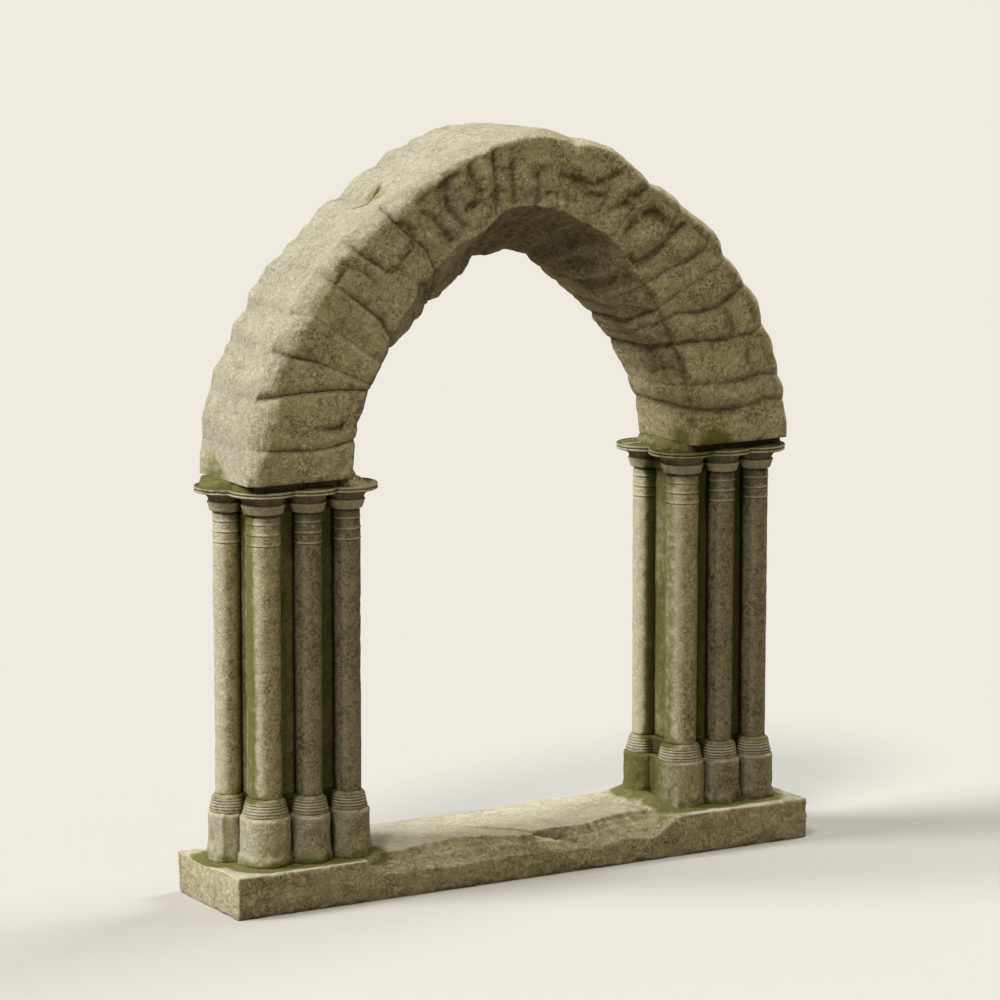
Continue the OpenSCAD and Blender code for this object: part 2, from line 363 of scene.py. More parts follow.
def finish_piece(bm, node, material, paint, shape=None, bend_gain=(3.0, 3.0)):
    """Turns a bmesh into the finished stone that stands for a CAD node.

    shape(surface) gives the vertices' worn places. paint(surface) gives moss, grime with painted shade, pale
    worn edges with painted highlights, and the share of the painted light on faces turned to the key lamp
    that is kept, for each vertex.
    """
    for face in bm.faces:
        face.smooth = True
    mesh = bpy.data.meshes.new(node + "_stone")
    bm.to_mesh(mesh)
    bm.free()
    if shape:
        mesh.vertices.foreach_set("co", shape(Surface(mesh)).ravel())
        mesh.update()
    s = Surface(mesh)
    bent = concavity(mesh, s)
    moss, dirt_and_shade, lips_and_highlights, key_lit_share = paint(s)
    # Painted light: how far each vertex faces the key lamp, from the upper left.
    key_lit = ease(s.n @ np.array([-0.80, 0.05, 0.60]) - 0.10, 0.60)
    # Grime and painted shade gather in the concave places.
    for name, values in (("hollow", np.clip(bent * bend_gain[0] - 0.06, 0, 1) + dirt_and_shade),
                         # Convex edges are pale with wear and painted highlights.
                         ("arris", np.clip(-bent * bend_gain[1] - 0.22, 0, 1) + lips_and_highlights),
                         ("key_lit", key_lit * key_lit_share), ("moss", moss)):
        layer = mesh.attributes.new(name, "FLOAT", "POINT")
        layer.data.foreach_set("value", np.clip(values, 0, 1).astype(np.float32))
    for name in ("column", "row"):
        if name in mesh.attributes:
            mesh.attributes.remove(mesh.attributes[name])
    mesh.materials.append(material)
    piece = bpy.data.objects.new(node + "_stone", mesh)
    bpy.context.scene.collection.objects.link(piece)
    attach(piece, "root")
    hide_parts(node)


def moss_spots(points, spots):
    """Moss from given spots: (place, reach, amount)."""
    total = np.zeros(len(points))
    for place, reach, amount in spots:
        far = np.linalg.norm(points - np.array(place), axis=1)
        total = np.maximum(total, amount * ease(1.35 - far / reach))
    return total


# ---------------------------------------------------------------- the arch ring
# A joint's angle at six radii, then how deep it is worn: front depths at the same radii,
# on the outer face in front and behind, on the inner face, and on the back. Depths in millimetres.
JOINT_RADII = (0.88, 1, 1.1, 1.2, 1.3, 1.39)
LEFT_JOINTS = [
    ([180, 180, 180, 180, 180, 180], [0, 0, 0, 0, 0, 0], 0, 0, 0, 0),
    ([169, 171.8, 172.9, 173.2, 173.4, 173.5], [10, 9, 10, 10, 9, 5], 4, 3, 8, 8),
    ([154.5, 156.9, 159, 160.9, 162.7, 164.5], [9, 11, 14, 15, 14, 9], 6, 4, 5, 9),
    ([153, 153.2, 153.4, 153.8, 154.8, 155], [3, 3, 6, 14, 19, 8], 5, 5, 6, 8),
    ([146, 146, 146, 146, 146, 147.3], [4, 2, 1, 1, 4, 6], 6, 6, 4, 7),
    ([139.8, 137, 137.5, 138.1, 138.4, 138.5], [14, 16, 15, 13, 10, 3], 5, 5, 8, 9),
    ([126.5, 127, 127.5, 129.2, 130.6, 131], [4, 2, 3, 14, 13, 3], 4, 4, 5, 6),
    ([120.3, 117.6, 117.6, 119.3, 121, 121.2], [15, 16, 17, 19, 21, 9], 5, 6, 10, 12),
    ([109.5, 109.8, 110.2, 110.6, 111, 111.5], [3, 3, 2, 3, 3, 0], 3, 4, 2, 7),
    ([102, 102, 102, 101.9, 102.8, 104], [3, 3, 3, 6, 8, 0], 2, 3, 2, 8),
    ([96, 97, 97.6, 97.6, 97.4, 97.2], [2, 3, 6, 9, 5, 0], 2, 3, 3, 7)]
RIGHT_JOINTS = [
    ([0, 0, 0, 0, 0, 0], [0, 0, 0, 0, 0, 0], 0, 0, 0, 0),
    ([11.3, 9, 8.1, 7.9, 8.4, 7.5], [14, 13, 14, 12, 10, 5], 4, 4, 14, 8),
    ([18.5, 16.2, 14.4, 13.8, 13.5, 12.3], [5, 6, 9, 13, 15, 8], 4, 4, 1, 9),
    ([32, 28.7, 25.8, 23.8, 22.4, 23.2], [17, 16, 14, 12, 10, 4], 4, 4, 16, 10),
    ([39.5, 38.3, 33.7, 31.8, 31.8, 32.2], [6, 8, 15, 18, 12, 4], 4, 4, 3, 7),
    ([43, 42.6, 41, 39.6, 39, 38.7], [9, 8, 6, 6, 6, 3], 4, 4, 13, 9),
    ([52, 50, 48, 45.3, 43.7, 45.5], [4, 5, 7, 10, 9, 3], 3, 4, 2, 6),
    ([60, 57.4, 54, 52.2, 53.3, 53.5], [3, 9, 14, 14, 7, 2], 3, 4, 2, 10),
    ([67, 66, 65, 63.8, 62.6, 61.5], [3, 4, 5, 4, 4, 2], 3, 4, 2, 8),
    ([74, 73.6, 73.2, 72.4, 72, 71], [2, 2, 4, 5, 4, 0], 2, 3, 2, 6),
    ([81, 81, 80.8, 80.6, 80.3, 80], [1, 1, 2, 3, 2, 0], 2, 3, 2, 9),
    ([88, 88, 87.5, 87.1, 87.2, 88], [2, 3, 8, 11, 5, 0], 2, 3, 3, 6)]
# How much deeper the joints are worn across the broken edge, in millimetres, by angle.
CORNER_DEPTH = [(0, 1), (60, 2), (68, 0), (112, 0), (120, 7), (180, 7)]
# How far the front's lower edge is worn up from the inner face, in millimetres, by angle.
FRONT_WEAR = [
    (10, 0), (20, 18), (30, 38), (40, 70), (50, 105), (58, 160), (64, 200), (72, 222), (80, 252), (88, 268),
    (94, 275), (98, 225), (105, 184), (112, 166), (118, 138), (126, 98), (134, 60), (140, 30), (148, 4),
    (180, 0)]
# Share of the inner face taken up by the slope behind that edge.
SPLAY_SHARE = [
    (0, 0.2), (40, 0.35), (55, 0.5), (70, 0.8), (82, 1), (96, 1), (102, 0.62), (110, 0.42), (118, 0.26),
    (130, 0.2), (180, 0.2)]
# How far the ring's edges stand out from the plain arc, in millimetres, by angle.
FRONT_EDGE = [
    (0, 32), (7.3, 25), (10, 22), (12, 12), (14.5, 14), (16.4, 6), (20, 13), (23.4, -1), (27, 13), (30, 9),
    (33, -1), (38, -1), (39.7, -10), (41.5, 6), (44.5, 15), (49, 4), (53.4, -1), (56, 9), (59, 12),
    (61.5, 1), (65, 12), (68, 28), (71, 48), (77, 30), (80, 9), (84, 16), (89, 12), (95, 6), (100, 0),
    (180, 0)]
REAR_EDGE = [
    (0, 12), (50, 4), (88, 3), (93.2, 0), (95, 9), (98, 16), (100.6, 11), (102.5, 21), (105.2, 9),
    (108, 17), (111, 4), (114, 16), (117, 15), (120, -3), (122.5, 11), (125, 4), (128.2, -13), (130, -6),
    (132, -17), (134, -5), (136.5, -13), (138, 0), (140, 7), (143.3, -16), (146, 3), (148.7, -19),
    (152, 13), (155, -3), (156.3, 4), (157.6, -2), (161, 20), (164.5, 14), (170, 22), (173.6, 12),
    (177, 18), (180, 14)]
INNER_EDGE = [
    (0, 14), (6, 4), (10.5, -14), (18, -22), (22, -32), (30, -42), (38, -44), (42, -26), (46, -36),
    (50, -26), (58, -14), (62, 10), (66, 12), (70, 40), (78, 38), (82, 14), (87, -14), (94, -8), (104, -34),
    (112, -30), (122, -34), (134, -50), (142, -46), (150, -45), (156, -38), (162, -20), (180, -18)]
# Size of the broken edge between the front and the outer face, by angle, and how flat it lies.
BROKEN_EDGE = [
    (0, 0.34), (30, 0.42), (60, 0.44), (66, 0.46), (70, 0.56), (80, 0.62), (90, 0.8), (97, 0.85),
    (103, 0.72), (110, 0.85), (114.5, 0.7), (116.5, 1.1), (120.4, 1.15), (121.6, 0.8), (126, 0.78),
    (130, 0.95), (134, 0.72), (138, 0.98), (141, 0.95), (146.4, 1.1), (147.4, 0.95), (154, 1.12),
    (155.4, 0.8), (162.8, 0.74), (164.2, 1.02), (172.8, 1), (174.2, 0.66), (180, 0.5)]
EDGE_FLATNESS = [(0, 0.5), (55, 0.6), (66, 1), (100, 1), (112, 0.2), (180, 0)]
# Depth of the split along the edge between the front and the inner face, in millimetres, by angle.
ARRIS_SPLIT = [
    (2, 0), (5, 12), (9, 20), (10.5, 6), (12, 18), (26, 26), (30, 12), (33, 20), (44, 18), (50, 8), (58, 4),
    (66, 0), (140, 0), (146, 8), (158, 12), (168, 10), (176, 0)]
# Depth of the soft trough inside the right half's outer rim, in millimetres, by angle.
RIM_TROUGH = [
    (3, 0), (8, 9), (14, 6), (20, 11), (27, 9), (33, 12), (38, 5), (44, 10), (50, 9), (56, 6), (62, 0)]
# How rough and broken the front is, and how much painted shade the inner face gets, by angle.
RUGGED = [(50, 0), (60, 0.6), (68, 1), (100, 1), (112, 0.8), (119, 0.15), (125, 0)]
SOFFIT_SHADE = [
    (0, 0.05), (20, 0.18), (40, 0.26), (58, 0.3), (66, 0.45), (73, 0.8), (95, 0.9), (110, 0.6), (130, 0.38),
    (180, 0.1)]
# Grooves cut inside the stones of the front: points as (angle, radius), then depth and width in millimetres.
FRONT_CUTS = [
    ([(139, 1.288), (134, 1.297), (133.2, 1.27), (132, 1.2), (131.6, 1.1)], 11, 9),
    ([(131.6, 1.1), (134.5, 1.09), (136.6, 1.105)], 7, 10),
    ([(128.4, 1.15), (127.2, 1.125), (124.5, 1.13), (121.3, 1.148)], 11, 9),
    ([(120.4, 1.275), (118.6, 1.245), (118.4, 1.21), (119, 1.17)], 22, 15),
    ([(117.9, 1.215), (114.6, 1.262)], 7, 12),
    ([(114.6, 1.262), (112.7, 1.209), (111.6, 1.15), (110.6, 1.09)], 17, 13),
    ([(115, 1.322), (110.6, 1.337)], 8, 14),
    ([(109.8, 1.33), (105.5, 1.355)], 10, 14),
    ([(109, 1.335), (107.5, 1.345), (107.8, 1.305)], 20, 14),
    ([(108.6, 1.28), (108.5, 1.225), (107.6, 1.18), (106.2, 1.13)], 17, 12),
    ([(104.6, 1.186), (102.8, 1.196)], 18, 13),
    ([(102.4, 1.225), (99, 1.165)], 7, 12),
    ([(102.4, 1.365), (101.9, 1.31), (101.2, 1.25)], 17, 10),
    ([(96.9, 1.395), (96.8, 1.335), (94.3, 1.324), (92.6, 1.316)], 12, 10),
    ([(96.8, 1.335), (96.9, 1.18)], 12, 10),
    ([(93, 1.335), (92.8, 1.17)], 13, 12),
    ([(87, 1.29), (86.8, 1.17)], 12, 13),
    ([(82, 1.295), (76.4, 1.268), (74, 1.275), (71.8, 1.31), (69.4, 1.36)], 10, 14),
    ([(75.4, 1.225), (70.4, 1.236), (71.2, 1.17)], 12, 13),
    ([(68.6, 1.19), (66.6, 1.232), (65.2, 1.25)], 10, 12),
    ([(80.2, 1.195), (77.4, 1.178)], 7, 12),
    ([(62.6, 1.34), (63.4, 1.312), (65.4, 1.288)], 12, 11),
    ([(62.4, 1.13), (61.6, 1.19), (60.6, 1.24), (58.8, 1.275), (55.8, 1.272), (53, 1.27)], 16, 13),
    ([(51, 1.31), (52.2, 1.24), (52.4, 1.16), (53.4, 1.09), (55.2, 1.035), (58, 1.03)], 15, 13),
    ([(31.6, 1.228), (28, 1.222), (24.4, 1.214)], 13, 12),
    ([(19.9, 1.25), (16.9, 1.236)], 11, 9),
    ([(167.5, 1.085), (167, 1.01), (166, 0.968), (165.2, 0.965)], 13, 8),
    ([(154.2, 1.145), (150.5, 1.176)], 6, 9),
    ([(143.4, 1.15), (143, 1.03)], 5, 16),
    ([(124.8, 0.955), (122.6, 0.985)], 12, 10),
    ([(128.8, 0.965), (127.6, 0.985)], 8, 10),
    ([(39.2, 1.13), (36, 1.105)], 8, 12),
    ([(48.5, 1.14), (45, 1.125)], 7, 12)]
# Places where the front swells between its grooves: (angle, radius), reach in metres, height in millimetres.
FRONT_PADS = [
    ((57, 1.165), 0.08, 11), ((115.5, 1.14), 0.07, 8), ((109.6, 1.16), 0.045, 7), ((105.4, 1.3), 0.05, 8),
    ((94.7, 1.25), 0.042, 6), ((90, 1.24), 0.05, 6), ((48.2, 1.22), 0.06, 7), ((66, 1.3), 0.055, 6),
    ((77.5, 1.33), 0.06, 6), ((98.9, 1.31), 0.04, 5)]
PAD_SPAN = 12
# Grooves on the outer face: angle, from y to y, depth in millimetres.
OUTER_CUTS = [
    (158.4, -0.05, 0.2, 5), (163.9, -0.25, 0.15, 4), (168.6, -0.12, 0, 5), (146.8, -0.25, -0.12, 4),
    (127, -0.14, 0.1, 3), (112.8, -0.05, 0.2, 3), (16.9, -0.26, 0.02, 8), (67, -0.26, -0.05, 4),
    (27.5, 0, 0.26, 6), (50, 0.05, 0.26, 6), (57.5, 0, 0.26, 5), (76, 0, 0.26, 5)]
# The open crack in the outer face: (angle, y), and the angles that it is looked for between.
OUTER_CRACK = [(122.9, -0.02), (120.6, -0.052), (118, -0.035), (115.8, 0.004)]
CRACK_SPAN = (110, 130)
# Grooves on the inner face: points as (angle, y), then depth and width in millimetres.
INNER_CUTS = [
    ([(80, 0.22), (74.5, 0.124), (72.5, 0.071), (71, 0.009), (70, -0.044), (69, -0.124), (67, -0.2)], 15, 11),
    ([(70.5, 0.2), (68, 0.071), (66.5, 0.009), (65, -0.053), (63.6, -0.1)], 11, 10),
    ([(64.5, 0.1), (60, -0.018), (58.5, -0.053), (57, -0.106), (56.5, -0.15), (56, -0.2)], 15, 11),
    ([(52.5, 0.18), (50, 0.05), (49, -0.06)], 7, 14),
    ([(36.5, 0.16), (37.5, 0.02), (38, -0.08)], 6, 12),
    ([(22, -0.02), (24.5, -0.12), (24, -0.2)], 6, 12),
    ([(122.5, -0.13), (122, -0.23)], 13, 12),
    ([(128.2, -0.12), (127.8, -0.22)], 8, 11),
    ([(96, -0.02), (93.5, 0.1), (93, 0.2)], 7, 16),
    ([(104, -0.16), (104.5, 0), (106, 0.14)], 8, 14)]
# Broad hollows of the inner face: (angle, y), reach, depth in metres.
INNER_HOLLOWS = [((85, 0.02), 0.1, 0.018), ((76, -0.06), 0.07, 0.009), ((98, -0.1), 0.08, 0.01)]
# Moss on the ring and on the abaci: (place, reach, amount).
RING_MOSS = [((1.00, -0.24, SPRING_Z - 0.01), 0.13, 1.0), ((0.90, -0.14, SPRING_Z - 0.01), 0.12, 0.9),
             ((-1.38, 0.10, SPRING_Z - 0.01), 0.14, 0.8), ((-0.650, -0.05, SPRING_Z + 1.20), 0.075, 0.75),
             ((0.25, -0.24, SPRING_Z + 1.28), 0.16, 0.35), ((0.62, -0.24, SPRING_Z + 1.12), 0.12, 0.35)]
ABACUS_MOSS = [
    ((-1.43, 0, 1.88), 0.2, 0.3), ((0.9, -0.2, 1.88), 0.26, 0.55), ((1.15, -0.2, 1.88), 0.25, 0.3)]
ABACUS_BARE = [((-0.8, -0.12, 1.9), 0.19, 0.97)]
# Faces along each run of the ring's outline, the run on the inner face, and a face's length along the ring.
RING_COLUMNS = (58, 7, 10, 66, 3, 50, 2, 54, 3)
INNER_RUN = 7
RING_STEP = 0.0078
CUT_MARGIN = 0.06

# Turned profiles as (outward from the shaft's face, up).
NECK_RING = [(0, -0.0060), (-0.0022, -0.0026), (0.0010, 0), (0.0030, 0.0024), (0.0022, 0.0056), (0, 0.0090)]
BELL_BAND = [(0.008, 0), (0.0120, 0.003), (0.0150, 0.014), (0.0190, 0.028), (0.0225, 0.037), (0.0230, 0.0405),
             (0.0205, 0.0430), (0.0165, 0.0440)]
BASE_RING = [(-0.0042, 0), (-0.0008, 0.0022), (0.0004, 0.0062), (-0.0008, 0.0102), (-0.0042, 0.0124)]
BASE_RING_STEP = 0.0128
# How far the bases, the drums and the web stand out from the big shaft, the small ones and the wall.
BASE_OUT = (0.028, 0.026)
DRUM_OUT = (0.038, 0.036)
WEB_OUT = 0.022
ABACUS_EDGE = [(0.055, 0), (0.0735, 0), (0.0778, 0.0012), (0.0795, 0.0045), (0.0782, 0.0078),
               (0.0745, 0.0095), (0.0725, 0.0115), (0.0735, 0.0135), (0.0765, 0.0150), (0.0790, 0.0180),
               (0.0790, 0.0225)]
# The abacus's upper rim and dished top, measured up from the rim's height.
ABACUS_RIM = [(0.0770, -0.0010), (0.0735, 0), (0.0700, -0.0010), (0.066, -0.0030), (0.060, -0.0045),
              (0.052, -0.005)]
ABACUS_COLUMNS = 400

# Where the worn slope starts on the sill's top (y) and on its front (z), by x.
WEAR_TOP = [
    (-0.86, -0.3), (-0.82, -0.24), (-0.73, -0.193), (-0.65, -0.179), (-0.51, -0.164), (-0.42, -0.138),
    (-0.31, -0.112), (-0.23, -0.126), (-0.17, -0.14), (-0.07, -0.21), (0, -0.242), (0.045, -0.228),
    (0.07, -0.172), (0.19, -0.175), (0.34, -0.2), (0.47, -0.135), (0.56, -0.094), (0.65, -0.082),
    (0.715, -0.102), (0.78, -0.165), (0.82, -0.245), (0.86, -0.3)]
WEAR_FRONT = [
    (-0.86, 0.19), (-0.82, 0.12), (-0.72, 0.108), (-0.42, 0.104), (-0.26, 0.113), (0.06, 0.105),
    (0.33, 0.097), (0.5, 0.118), (0.66, 0.104), (0.7, 0.135), (0.75, 0.172), (0.8, 0.19)]
# How far down the slope has fallen at a share of its way: a steep break, a ledge, then the long slope.
WEAR_FALL = [(0, 0), (0.12, 0.17), (0.4, 0.42), (0.48, 0.46), (0.56, 0.56), (0.95, 0.93), (1, 1)]
# The crack across the sill's top: (x, y).
SILL_CRACK = [
    (-0.153, 0.031), (-0.076, -0.019), (0.005, -0.084), (0.038, -0.119), (0.058, -0.165), (0.124, -0.196),
    (0.165, -0.214), (0.255, -0.258)]


def softly(table, x):
    """Reads a table with its corners rounded off."""
    return sum(reading(table, x + k) for k in (-2.0, -1.0, 0.0, 1.0, 2.0)) / 5


def outer_radius(angle):
    """The ring's outer radius, which rises towards the crown."""
    share = np.clip(1 - abs(angle - 90) / CROWN_HALF_ANGLE, 0, 1)
    return RING_OUTER + CROWN_RISE * (0.6 * share + 0.4 * ease(share))


def on_ring(radius, y, angle):
    """Places in the frame from a radius, a y and an angle on the ring."""
    a = np.radians(angle)
    return np.stack([radius * np.cos(a), y, SPRING_Z + radius * np.sin(a)], axis=1)


def facing(n):
    """How much a section's normals face the front, the back, outward and inward."""
    out, back = n.T
    return np.clip([-back, back, out, -out], 0, 1)


def ring_section(angle):
    """The ring's outline at an angle as (height above the inner face, y), its normals, and how far
    each point is from the front's lower edge."""
    thick = outer_radius(angle) - RING_INNER
    ahead = thick + reading(FRONT_EDGE, angle) / MM
    behind = thick + reading(REAR_EDGE, angle) / MM
    inner = softly(INNER_EDGE, angle) / MM
    worn = max(softly(FRONT_WEAR, angle) / MM, inner)
    splay = reading(SPLAY_SHARE, angle)
    size = reading(BROKEN_EDGE, angle)
    flat = reading(EDGE_FLATNESS, angle)
    h, b, c = RING_HALF, REAR_BEVEL, INNER_BEVEL
    corners = [(worn + c, -h), (ahead - (0.085 - 0.020 * flat) * size, -h),
               (ahead - 0.045 * size, (0.018 - 0.004 * flat) * size - h),
               (ahead, (0.062 + 0.040 * flat) * size - h), (behind, h - b), (behind - b, h), (inner + c, h),
               (inner, h - c), (worn, c - h)]
    runs = []
    for k, count in enumerate(RING_COLUMNS):
        (r0, y0), (r1, y1) = corners[k], corners[(k + 1) % len(corners)]
        s = np.arange(count) / count
        r = r0 + (r1 - r0) * s
        if k == INNER_RUN:
            slope = np.clip((s - 1 + splay) / splay, 0, 1)
            r = inner + (worn - inner) * slope
            r += 0.16 * (worn - inner) * np.sin(np.pi * slope) * (1 - 0.35 * s) * ease(splay - 0.5, 0.4)
        runs.append(np.stack([r, y0 + (y1 - y0) * s], axis=1))
    line = np.concatenate(runs)
    for _ in range(4):
        line = (np.roll(line, 1, 0) + 2 * line + np.roll(line, -1, 0)) / 4
    along = np.roll(line, -1, 0) - np.roll(line, 1, 0)
    along /= np.linalg.norm(along, axis=1)[:, None]
    return line, np.stack([along[:, 1], -along[:, 0]], axis=1), np.hypot(line[:, 0] - worn, line[:, 1] + h)


def joint_angle(joint, radius):
    return np.interp(radius, JOINT_RADII, joint[0])


def joint_depth(joint, radius, y, n):
    """How deep a joint is worn at points of a section whose normals are n, in metres."""
    angles, on_front, outer_front, outer_rear, on_inner, on_rear = joint
    front, rear, outer, inner = facing(n) ** 2
    on_front = np.interp(radius, JOINT_RADII, on_front)
    on_outer = outer_front + (outer_rear - outer_front) * ease(y + 0.1, 0.2)
    depth = front * on_front + outer * on_outer + inner * on_inner + rear * on_rear
    depth += 4 * front * outer * reading(CORNER_DEPTH, angles[4])
    return depth / MM


def joint_profile(far, width):
    """A joint's worn shape: rounded shoulders and a narrow bottom."""
    return 0.46 * hump(far, 3.1 * width) + 0.54 * hump(far, width)


def stations(length):
    """Shares along a stone, closer together near its joints."""
    near = [0.0, 0.0022, 0.0050, 0.0090, 0.0145]
    inner = length - 2 * near[-1]
    count = max(2, round(inner / RING_STEP))
    middle = [near[-1] + inner * k / count for k in range(1, count)]
    marks = near + middle + [length - x for x in reversed(near)]
    return [x / length for x in marks]


def cuts_depth(angle, radius, y, n):
    """Depth of the grooves inside the stones, in metres."""
    a = np.radians(angle)
    x, z = radius * np.cos(a), radius * np.sin(a)
    front, rear, outer, inner = facing(n)
    sides = ((1, front ** 1.5), (-1, rear ** 1.5))
    depth = np.zeros(len(radius))
    for cut, amount, size in FRONT_CUTS:
        line = [(r * math.cos(math.radians(d)), r * math.sin(math.radians(d))) for d, r in cut]
        lo = np.min(line, axis=0) - CUT_MARGIN
        hi = np.max(line, axis=0) + CUT_MARGIN
        for sign, share in sides:
            inside = (sign * x > lo[0]) & (sign * x < hi[0]) & (z > lo[1]) & (z < hi[1]) & (share > 0.05)
            if inside.any():
                soft = joint_profile(far_from_line(sign * x[inside], z[inside], line), 1.2 * size / MM)
                depth[inside] = np.maximum(depth[inside], 1.35 * amount / MM * share[inside] * soft)
    for middle, y0, y1, amount in OUTER_CUTS:
        far = np.radians(angle - middle - 1.2 * np.sin(y * 17 + middle)) * radius
        if abs(far).min() < CUT_MARGIN:
            reach = ease(y - y0 + 0.03, 0.06) * ease(y1 + 0.03 - y, 0.06)
            depth = np.maximum(depth, amount / MM * outer * reach * hump(far, 0.012))
    if CRACK_SPAN[0] < angle.mean() < CRACK_SPAN[1]:
        line = [(math.radians(d) * RING_OUTER, w) for d, w in OUTER_CRACK]
        depth = np.maximum(depth, 0.030 * outer * hump(far_from_line(a * RING_OUTER, y, line), 0.0088))
    for cut, amount, size in INNER_CUTS:
        line = [(math.radians(d) * RING_INNER, w) for d, w in cut]
        if abs(a.mean() * RING_INNER - np.mean(line, axis=0)[0]) < 0.20:
            soft = joint_profile(far_from_line(a * RING_INNER, y, line), 1.4 * size / MM)
            depth = np.maximum(depth, 1.6 * amount / MM * inner * soft)
    for (middle, across), reach, amount in INNER_HOLLOWS:
        far = np.hypot((a - math.radians(middle)) * RING_INNER, y - across)
        depth = np.maximum(depth, amount * inner * ease(1.2 - far / reach))
    return depth


def ring_stone(node, low, high):
    """One stone of the ring between two joints; low has the smaller angles."""
    start, end = joint_angle(low, JOINT_RADII[-1]), joint_angle(high, JOINT_RADII[-1])
    shares = stations(max(0.05, math.radians(abs(end - start)) * JOINT_RADII[-1]))
    bm, column, row = tube_of(sum(RING_COLUMNS), len(shares))
    middle = (joint_angle(low, 1.2) + joint_angle(high, 1.2)) / 2
    left_half = middle > LEFT_HALF_FROM
    right_haunch = middle < RIGHT_HAUNCH_TO
    width, gain = (0.0100, 1.25) if left_half else (0.0160, 1.50)
    places, hollows, edges = [], [], []
    for share in shares:
        edge_angle = (1 - share) * start + share * end
        line, n, corner_gap = ring_section(edge_angle)
        front, _, outer, inner = facing(n)
        front = front ** 2
        radius, y = RING_INNER + line[:, 0], line[:, 1]
        first, last = joint_angle(low, radius), joint_angle(high, radius)
        angle = (1 - share) * first + share * last
        from_low = np.radians(angle - first) * radius
        from_edge = outer_radius(edge_angle) + reading(FRONT_EDGE, edge_angle) / MM - radius
        wide = width + (0.020 - width) * outer ** 2
        worn = cuts_depth(angle, radius, y, n)
        for joint, far in ((low, from_low), (high, np.radians(last - angle) * radius)):
            worn = np.maximum(worn, gain * joint_depth(joint, radius, y, n) * joint_profile(far, wide))
        worn = np.maximum(worn, reading(ARRIS_SPLIT, edge_angle) / MM * hump(corner_gap, 0.030))
        worn = np.maximum(worn, reading(RIM_TROUGH, edge_angle) / MM * hump(from_edge - 0.058, 0.016) * front)
        points = on_ring(radius, y, angle)
        rise = weathering(points, 0.0045, 0.0012 + 0.0006 * (1 - outer), 11)
        rise += 0.0045 * lumps(points, 0.13, 17)
        rise += (front + inner) * (0.0040 * lumps(points, 0.062, 19) + 0.0022 * lumps(points, 0.034, 20))
        rise += outer * 0.0042 * lumps(points, 0.075, 21)
        rugged = reading(RUGGED, edge_angle) * front
        rise += rugged * (0.0075 * lumps(points, 0.048, 28) + 0.0040 * lumps(points, 0.026, 29) - 0.002)
        for (pad_angle, pad_radius), reach, height in FRONT_PADS:
            if abs(edge_angle - pad_angle) < PAD_SPAN:
                far = np.hypot(np.radians(angle - pad_angle) * radius, radius - pad_radius)
                rise += front * height / MM * ease(1.25 - far / reach)
        climb = share if middle < 90 else 1 - share
        pillow = math.sqrt(4 * share * (1 - share))
        if left_half:
            rise += front * (0.007 * climb - 0.003) * (1 - rugged)
            rise += front * 0.003 * pillow
            # Painted highlight along one side of each joint on the front, and painted light over the left
            # half's front, less towards the springing.
            painted_highlight = hump(from_low - 0.015, 0.008) * front * 0.55 * (1 - rugged)
            painted_highlight += front * np.clip(0.10 + 0.34 * lumps(points, 0.048, 44), 0, 1) * ease(165 - edge_angle, 15)
        else:
            rise += outer * 0.003 * (0.5 - climb)
            rise += (front + inner) * 0.006 * pillow * (1 - rugged)
            # Painted highlight along one side of each joint, on the front and inner faces.
            painted_highlight = hump(from_low - 0.026, 0.012) * (front + inner) * 0.25 * (1 - rugged)
        # Painted rim highlight along the edge between the front and the outer face; on the right haunch also
        # along the outer edge of faces turned to the front.
        rim = 4 * front * outer ** 2
        if right_haunch:
            rim = np.maximum(rim, 1.4 * hump(np.maximum(from_edge, 0), 0.024) * ease(-n[:, 1] - 0.15, 0.25))
        painted_highlight = painted_highlight + rim * (1.0 if right_haunch else 0.55)
        rise += inner * reading(FRONT_WEAR, edge_angle) / MM * 0.05 * lumps(points, 0.13, 40)
        worn *= 0.85 + 0.35 * lumps(points, 0.07, 23)
        move = rise - worn
        points = on_ring(radius + n[:, 0] * move, y + n[:, 1] * move, angle)
        points[:, 2] = np.clip(points[:, 2], SPRING_Z + 0.0005, TOP_LIMIT)
        places.append(points)
        # Grime in the worn joints and grooves, with painted shade in their troughs; less on the shallow
        # grooves of the outer face.
        hollows.append(np.clip(worn / 0.016, 0, 1) * (1 - 0.45 * outer * (worn < 0.012)))
        edges.append(painted_highlight * (0.6 + 0.5 * lumps(points, 0.05, 24)))
    for v in bm.verts:
        v.co = places[v[row]][v[column]]
    hollow, lips_and_highlights = (np.array([held[v[row]][v[column]] for v in bm.verts]) for held in (hollows, edges))

    def paint(s):
        angle = np.arctan2(s.z - SPRING_Z, s.x)
        inward = -(s.nx * np.cos(angle) + s.nz * np.sin(angle))
        # Painted shade along the foot of the front, just above the springing.
        under = 0.35 * ease(SPRING_Z + 0.03 - s.z, 0.03) * (s.ny < -0.3)
        # Painted shade on the inner face, by angle, with grime and painted shade in the grooves.
        dirt_and_shade = 0.85 * hollow + under + ease(inward - 0.15, 0.5) * reading(SOFFIT_SHADE, np.degrees(angle))
        moss = moss_spots(s.p, RING_MOSS) + 0.30 * hollow * ease(s.x + 0.4, 0.6)
        # Inner faces keep little of the painted light.
        return moss + 0.12 * np.clip(s.lumps(0.35, 31), 0, 1), dirt_and_shade, lips_and_highlights, ease(0.15 - inward, 0.35)

    outward(bm)
    finish_piece(bm, node, RING_STONE, paint, bend_gain=(2.2, 2.2))


